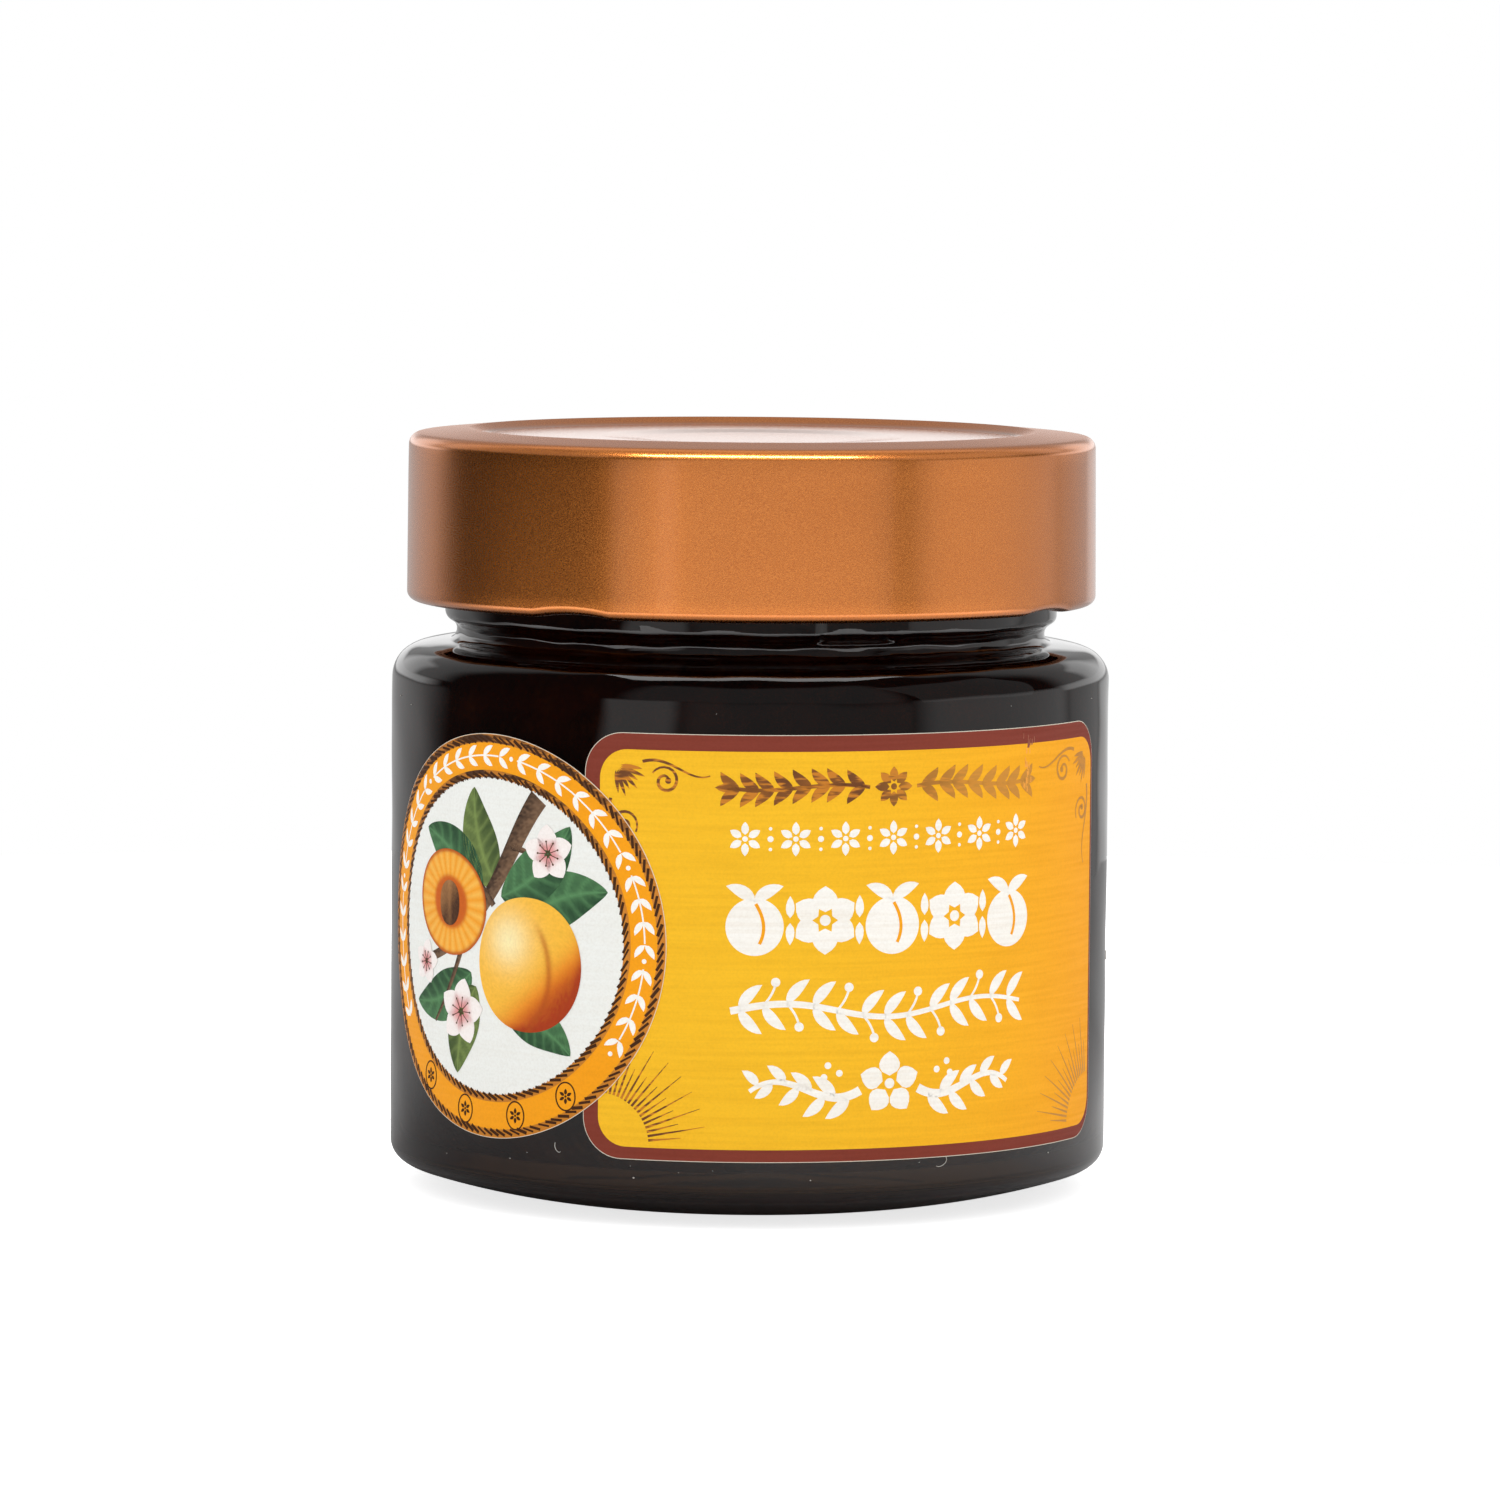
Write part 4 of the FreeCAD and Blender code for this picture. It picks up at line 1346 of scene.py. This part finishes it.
@dataclass
class FruitPicture:
    """A still life: a whole apricot, a half with its stone, leaves, a twig and blossom."""

    label: Medallion
    seed: int = 5

    def __post_init__(self) -> None:
        """Keeps a seeded source of stipple."""
        self.random = np.random.default_rng(self.seed)

    def spot(self, x: float, y: float) -> Array:
        """A place given from the medallion's middle."""
        return self.label.centre + (x, y)

    def leaf_paint(self, dark: Colour, light: Colour) -> Paint:
        """Green between dark and light, with a pale midrib and side veins that run forward."""

        def paint(t: Array, v: Array) -> Array:
            """The green at t along the leaf and v across it."""
            rib = np.exp(-((v / 0.13) ** 2))
            vein = 0.5 + 0.5 * np.cos(math.tau * (7 * t - 0.9 * np.abs(v)))
            share = 0.18 + 0.34 * ease(v, -1, 1) + 0.3 * vein**4 * (1 - rib) + 0.5 * rib
            stipple = 0.12 * (self.random.random(np.broadcast(t, v).shape) - 0.5)
            return np.clip(blend(dark, light, np.clip(share + stipple, 0, 1)), 0, 1)

        return paint

    def bark_paint(self, t: Array, v: Array) -> Array:
        """Brown bark, lighter to the left, with stipple."""
        stipple = self.random.random(np.broadcast(t, v).shape)
        return blend(linear(42, 27, 20), linear(150, 116, 88), 0.4 * ease(v, -1, 1) + 0.4 * stipple)

    def fruit_paint(self, x: Array, y: Array) -> Array:
        """Ripe skin: pale where the light falls, orange, then a red blush low on the right, with a crease."""
        lit = np.exp(-((x + 0.36) ** 2 + (y - 0.34) ** 2) / 0.16)
        shade = ease(0.62 * x - 0.74 * y, -0.15, 0.98)
        rim = ease(x * x + y * y, 0.72, 1.0)
        crease = np.exp(-(((x - 0.42 + 0.5 * (y + 0.1) ** 2) / 0.06) ** 2)) * fading(y, (0.3, 0.75))
        colour = blend(linear(250, 190, 62), linear(255, 236, 178), lit)
        colour = blend(colour, linear(232, 128, 22), ease(shade, 0.05, 0.75))
        stipple = self.random.random(np.shape(shade)) - 0.5
        blush = np.clip(ease(shade, 0.45, 1.0) + 0.4 * rim * shade + 0.3 * stipple * shade, 0, 1)
        colour = blend(colour, linear(170, 58, 16), blush)
        colour = blend(colour, linear(176, 76, 14), 0.65 * crease)
        return np.clip(colour * (1 + 0.1 * stipple[..., None]), 0, 1)

    def half_paint(self, x: Array, y: Array) -> Array:
        """Cut face: skin at the rim, glowing flesh with fine rays, and a darker hollow."""
        rho = np.hypot(x, y)
        rays = 0.5 + 0.5 * np.cos(26 * np.arctan2(y, x))
        colour = blend(linear(246, 160, 34), linear(252, 205, 98), rays * ease(rho, 0.3, 0.7) * 0.6)
        colour = blend(colour, linear(206, 96, 14), fading(rho, (0.44, 0.56)))
        return blend(colour, linear(188, 84, 18), ease(rho, 0.9, 0.99))

    def stone_paint(self, x: Array, y: Array) -> Array:
        """Brown shell, lighter on its ridge."""
        share = 0.7 * ease(0.6 * y - 0.6 * x, -0.6, 0.9) + 0.3 * np.exp(-((x / 0.16) ** 2))
        share = share + 0.2 * (self.random.random(np.shape(x)) - 0.5)
        return np.clip(blend(linear(74, 44, 24), linear(176, 124, 74), np.clip(share, 0, 1)), 0, 1)

    def petal_paint(self, t: Array, v: Array) -> Array:
        """White petal, pink towards its foot."""
        return blend(linear(226, 150, 150), linear(250, 243, 240), ease(t + 0 * v, 0.05, 0.55))

    def blossom(self, pen: Pen, heart: Pen, centre: Array, radius: float, turn: float) -> None:
        """Five broad petals and a heart of stamens."""
        for k in range(5):
            way = polar(turn + 72 * k, radius)
            pen.leaf(centre + way * 0.1, centre + way, radius * 0.78, 0.06, self.petal_paint, True)
        for k in range(9):
            way = polar(40 * k + turn, radius)
            heart.line(np.stack([centre + way * d for d in (0.04, 0.2, 0.4)]), 0.09)
            heart.dot(centre + way * 0.42, 0.22)

    def shapes(self) -> list[Shape]:
        """The picture from back to front, one layer above the other."""
        green = self.leaf_paint(linear(20, 52, 34), linear(96, 150, 98))
        olive = self.leaf_paint(linear(38, 60, 30), linear(134, 156, 84))
        back, twig, front, fruit, over, stone, heart = (
            self.label.pen(2 + layer, Ink.TWIG) for layer in (1, 2, 3, 4, 5, 5, 6))
        for pen, foot, tip, width, bend, paint in (
            (back, (-1.5, 4.0), (-11.2, 10.4), 5.6, -0.16, green),
            (back, (1.0, 5.0), (-2.6, 15.2), 5.2, 0.2, olive),
            (back, (4.0, 1.5), (14.6, 5.4), 5.8, 0.18, green),
            (back, (-3.0, -4.0), (-13.4, -7.8), 5.2, 0.2, green),
            (front, (1.5, 4.2), (10.2, 11.9), 5.4, -0.2, green),
            (front, (-2.2, -5.4), (-5.2, -14.6), 5.0, -0.16, olive),
            (front, (2.0, -7.8), (10.4, -11.6), 4.4, 0.2, green),
        ):
            pen.leaf(self.spot(*foot), self.spot(*tip), width, bend, paint, True)
        for widths, across, places in (
            ((2.3, 0.8), 9, ((6.4, 14.6), (2.0, 9.0), (1.5, 3.5), (-6.0, -3.0), (-12.6, -3.4))),
            ((0.7, 0.3), 4, ((2.6, 9.4), (6.2, 9.2), (8.6, 6.4))),
            ((0.7, 0.3), 4, ((0.4, 3.2), (-2.2, 6.6), (-6.4, 7.6))),
            ((0.7, 0.3), 4, ((-4.6, -1.6), (-6.4, -6.0), (-9.4, -9.6))),
        ):
            path = curve([self.spot(*place) for place in places], 0.3)
            twig.line(path, np.linspace(*widths, len(path)), self.bark_paint, across=across)
        for pen, x, y, reach, paint, rings, spokes in (
            (fruit, 5.0, -2.6, lambda a: 6.9 * (1 - 0.035 * np.cos(2 * a) - 0.03 * np.sin(a) ** 8),
             self.fruit_paint, 34, 108),
            (fruit, -6.6, 3.0, lambda a: 5.7 * (1 + 0.05 * np.cos(2 * a + 0.6)), self.half_paint, 26, 104),
            (stone, -6.7, 2.9, lambda a: 2.35 * (1 - 0.26 * np.cos(a) ** 2), self.stone_paint, 12, 56),
        ):
            pen.patch(self.spot(x, y), reach, paint, rings, spokes)
        for x, y, radius, turn in ((-4.6, -8.2, 3.5, 80), (7.6, 9.0, 3.0, 20), (-11.4, -3.6, 2.4, 150)):
            self.blossom(over, heart, self.spot(x, y), radius, turn)
        return [shape for pen in (back, twig, front, fruit, over, stone, heart) for shape in pen.shapes]


@dataclass
class Dust(Maker):
    """Specks and a few curled fibres that cling to the bare glass."""

    specks: int = 46
    seed: int = 23

    def build(self) -> None:
        """Scatters flat specks on the shoulder's edge and below the label, and lays three fibres."""
        random = np.random.default_rng(self.seed)
        lint = Pen(Wall(self.datum.wall_r), -0.05, 0.05, Ink.WHITE.value)
        for k in range(self.specks):
            s = random.uniform(-math.pi, math.pi) * self.datum.wall_r
            z = random.uniform(5.2, 7.0) if k % 2 else random.uniform(51.2, 53.6)
            size = 0.05 + 0.09 * random.random() ** 2
            lint.dot((s, z), size * 1.4, size)
        for s, z, lean in ((-20.6, 7.2, 0.5), (21.5, 6.0, -0.9), (58.0, 24.0, 0.2)):
            hair = swing((s, z), 1, (0, 1.1), (-0.5 * lean, 0.4), (lean, -0.1), (1.3 * lean, 0.2))
            lint.line(hair, 0.05)
        self.fix(lint.piece("lint", Lint().material()), "glass")


# ---------------------------------------------------------------- studio


class Panel(Enum):
    """What glossy surfaces see round the table: azimuths in degrees right of the camera, the
    lowest and highest sine of elevation, softness in degrees and strength."""

    BACK_LOW = (118.0, 235.0, 0.0, 0.15, 8.0, 1.2)
    BACK_LEFT = (196.0, 222.0, 0.0, 0.42, 6.0, 1.1)
    BACK_RIGHT = (138.0, 164.0, 0.0, 0.42, 6.0, 1.1)
    BACK_HIGH = (118.0, 242.0, 0.15, 1.1, 10.0, 0.42)
    LEFT_TABLE = (-190.0, -122.0, -1.1, 0.0, 14.0, 0.5)
    RIGHT_TABLE = (150.0, 190.0, -1.1, 0.0, 5.0, 0.75)
    RIGHT_CORNER = (122.0, 152.0, -1.1, 0.06, 6.0, 0.45)
    RIGHT_WALL = (56.0, 124.0, -1.1, 0.1, 9.0, 0.72)
    LEFT_BOX = (-47.0, -24.0, -0.3, 0.06, 3.0, 0.72)
    FRONT_BOX = (-40.0, 50.0, 0.03, 0.8, 6.0, 0.25)
    FRONT_TABLE = (-24.0, 56.0, -0.4, 0.03, 6.0, 0.25)


class Lights(Enum):
    """What a lamp lights."""

    ALL = "all"
    LID = "lid_only"
    REST = "all_but_lid"


class Lamp(Enum):
    """Soft boxes: degrees right of the camera, degrees above the table, distance, size, watts and
    what they light."""

    KEY = (-4.0, 97.0, 1.1, (0.9, 0.7), 6.0, Lights.REST)
    SIDE = (78.0, 25.0, 1.4, (1.2, 1.2), 1.0, Lights.ALL)
    LID_GLOW = (8.0, 2.0, 1.0, (1.62, 0.5), 1.05, Lights.LID)
    LID_STREAK = (-1.0, 50.0, 1.0, (1.12, 0.17), 15.0, Lights.LID)
    LID_OVER = (0.0, 90.0, 1.0, (1.5, 1.5), 3.2, Lights.LID)
    LID_LEFT = (-90.0, 34.0, 1.0, (1.6, 0.6), 1.2, Lights.LID)
    LID_RIGHT = (90.0, 34.0, 1.0, (1.6, 0.6), 1.2, Lights.LID)


@dataclass
class Studio:
    """Pale floor, white surround, soft lamps and the camera."""

    fill: float = 0.93
    gloom: float = 0.03
    floor_r: float = 0.36
    floor_glow: float = 0.75
    floor_shine: float = 1.2
    # Middle of the painted shadow that glossy rays see on the floor.
    painted_shadow_centre: Colour = (-0.055, 0.0, 0.0)
    aim_z: float = 0.04
    camera_back: float = 0.852
    camera_up: float = 0.11861
    camera_dip: float = 4.874
    camera_roll: float = 0.45
    lens: float = 193.9

    def build(self) -> None:
        """Builds everything round the object."""
        self.surround()
        self.floor()
        groups = {lights: bpy.data.collections.new(lights.value) for lights in (Lights.LID, Lights.REST)}
        for group in groups.values():
            group.objects.link(bpy.data.objects["twist_lid"])
        groups[Lights.REST].collection_objects[0].light_linking.link_state = "EXCLUDE"
        for lamp in Lamp:
            self.lamp(lamp, groups.get(lamp.value[-1]))
        self.camera()

    def surround(self) -> None:
        """World: white to the camera and through glass, panels in a dim room to glossy rays, an even fill."""
        world = bpy.data.worlds.new("surround")
        bpy.context.scene.world = world
        world.use_nodes = True
        tree = Tree(world.node_tree)
        maths = tree.maths

        def inside(value: Socket, low: float, high: float, soft: Pair) -> Socket:
            """1 between low and high, with a smooth step over twice soft at each end."""
            back = maths("MULTIPLY", value, -1.0)
            return maths("MULTIPLY", tree.range(value, (low - soft[0], low + soft[0]), how="SMOOTHSTEP"),
                         tree.range(back, (-high - soft[1], -high + soft[1]), how="SMOOTHSTEP"))

        x, y, z = tree.node("SeparateXYZ", {0: tree.node("TexCoord").outputs["Generated"]}).outputs
        azimuth = maths("MULTIPLY", maths("ARCTAN2", x, maths("MULTIPLY", y, -1.0)), 180 / math.pi)
        behind = maths("ADD", azimuth, maths("MULTIPLY", maths("LESS_THAN", azimuth, 0.0), 360.0))
        seen: object = self.gloom
        for panel in Panel:
            left, right, low, high, soft, strength = panel.value
            level = maths("MULTIPLY", inside(behind if right > 200 else azimuth, left, right, (soft, soft)),
                          inside(z, low, high, (0.03, 0.05)))
            seen = maths("MAXIMUM", seen, maths("MULTIPLY", level, strength))
        path = tree.node("LightPath").outputs
        plain = maths("MAXIMUM", path["Is Camera Ray"], path["Is Transmission Ray"])
        glossy = maths("ADD", maths("MULTIPLY", seen, path["Is Glossy Ray"]),
                       maths("MULTIPLY", self.fill, maths("SUBTRACT", 1.0, path["Is Glossy Ray"])))
        background = tree.tree.nodes["Background"].inputs
        unseen = maths("MULTIPLY", glossy, maths("SUBTRACT", 1.0, plain))
        tree.feed(background["Strength"], maths("ADD", plain, unseen))
        tree.feed(background["Color"], (1, 1, 1, 1))

    def floor(self) -> None:
        """A round white table top that keeps a soft shadow, and shines to glossy rays in front; to glossy
        rays its colour also carries a painted shadow near the jar, off to the left, and painted shade towards
        the back.
        """
        graph = Graph("pale_floor")
        grain = graph.range(graph.noise(graph.place(), 40, 3), (0.3, 0.7), (0, 0.3))
        pale = graph.mix(grain, (0.9, 0.9, 0.9), (0.88, 0.88, 0.88))
        # Painted shadow and painted shade, seen only in reflections: darker near a point left of the jar and
        # towards the back.
        near = graph.range(graph.away(graph.place(), self.painted_shadow_centre), (0.02, 0.13), (0.3, 0.8))
        back = graph.range(graph.axis("Y"), (0, 0.12), (1, 0.5))
        painted_shadow_colour = graph.mix(1.0, pale, graph.maths("MULTIPLY", near, back), "MULTIPLY")
        path = graph.node("LightPath").outputs
        seen = graph.maths("MAXIMUM", path["Is Camera Ray"], path["Is Transmission Ray"])
        glow = graph.maths("MULTIPLY", seen, self.floor_glow)
        ring = graph.range(graph.away(graph.place()), (0.11, 0.2), (0, self.floor_shine))
        shine = graph.maths("MULTIPLY", ring, graph.range(graph.axis("Y"), (-0.03, 0.05), (1, 0)))
        mirror = graph.maths("MULTIPLY", shine, path["Is Glossy Ray"])
        graph.set(Base_Color=graph.mix(path["Is Glossy Ray"], pale, painted_shadow_colour), Roughness=0.9,
                  Emission_Color=(1, 1, 1, 1), Emission_Strength=graph.maths("ADD", glow, mirror))
        edge = self.floor_r / MM
        top = [(radius, 0.0) for radius in (0.0, 40.0, 80.0, 160.0, 300.0, edge)]
        floor = turned(np.array([*top, (edge, -3.0), (0.0, -3.0)]), 96).piece("floor", graph.material)
        floor.data.polygons.foreach_set("use_smooth", np.zeros(len(floor.data.polygons), bool))

    def lamp(self, kind: Lamp, group: bpy.types.Collection | None) -> None:
        """A soft box aimed at the jar, which lights the group or, where there is none, everything."""
        turn, rise, distance, size, power, _ = kind.value
        data = bpy.data.lights.new(kind.name.lower(), "AREA")
        data.shape = "RECTANGLE"
        data.size, data.size_y = size
        data.energy = power
        lamp = bpy.data.objects.new(kind.name.lower(), data)
        a, e = math.radians(turn), math.radians(rise)
        way = Vector((math.sin(a) * math.cos(e), -math.cos(a) * math.cos(e), math.sin(e)))
        lamp.location = way * distance + Vector((0, 0, self.aim_z))
        lamp.rotation_euler = way.to_track_quat("Z", "Y").to_euler()
        lamp.visible_camera = False
        if group is not None:
            lamp.light_linking.receiver_collection = group
        bpy.context.scene.collection.objects.link(lamp)

    def camera(self) -> None:
        """The camera in front of the jar, looking slightly down."""
        data = bpy.data.cameras.new("camera")
        data.sensor_width = 36.0
        data.lens = self.lens
        data.clip_start, data.clip_end = 0.01, 20.0
        camera = bpy.data.objects.new("camera", data)
        tilt = Matrix.Rotation(math.radians(90 - self.camera_dip), 4, "X")
        roll = Matrix.Rotation(math.radians(self.camera_roll), 4, "Z")
        camera.matrix_world = Matrix.Translation((0, -self.camera_back, self.camera_up)) @ tilt @ roll
        bpy.context.scene.collection.objects.link(camera)
        bpy.context.scene.camera = camera


# ---------------------------------------------------------------- the whole


def main() -> None:
    """Builds the jar from the glass outwards, then the studio."""
    logging.basicConfig(level=logging.INFO, format="%(name)s %(message)s")
    bpy.context.scene.view_settings.view_transform = "Standard"
    datum = Datum.measured()
    LOG.info("measured %s", datum)
    glass = GlassJar(datum)
    for part in (glass, Filling(datum, glass), TwistLid(datum), SealingRing(datum), WrapLabel(datum),
                 Medallion(datum), Dust(datum)):
        part.build()
    Studio().build()


if __name__ == "__main__":
    main()
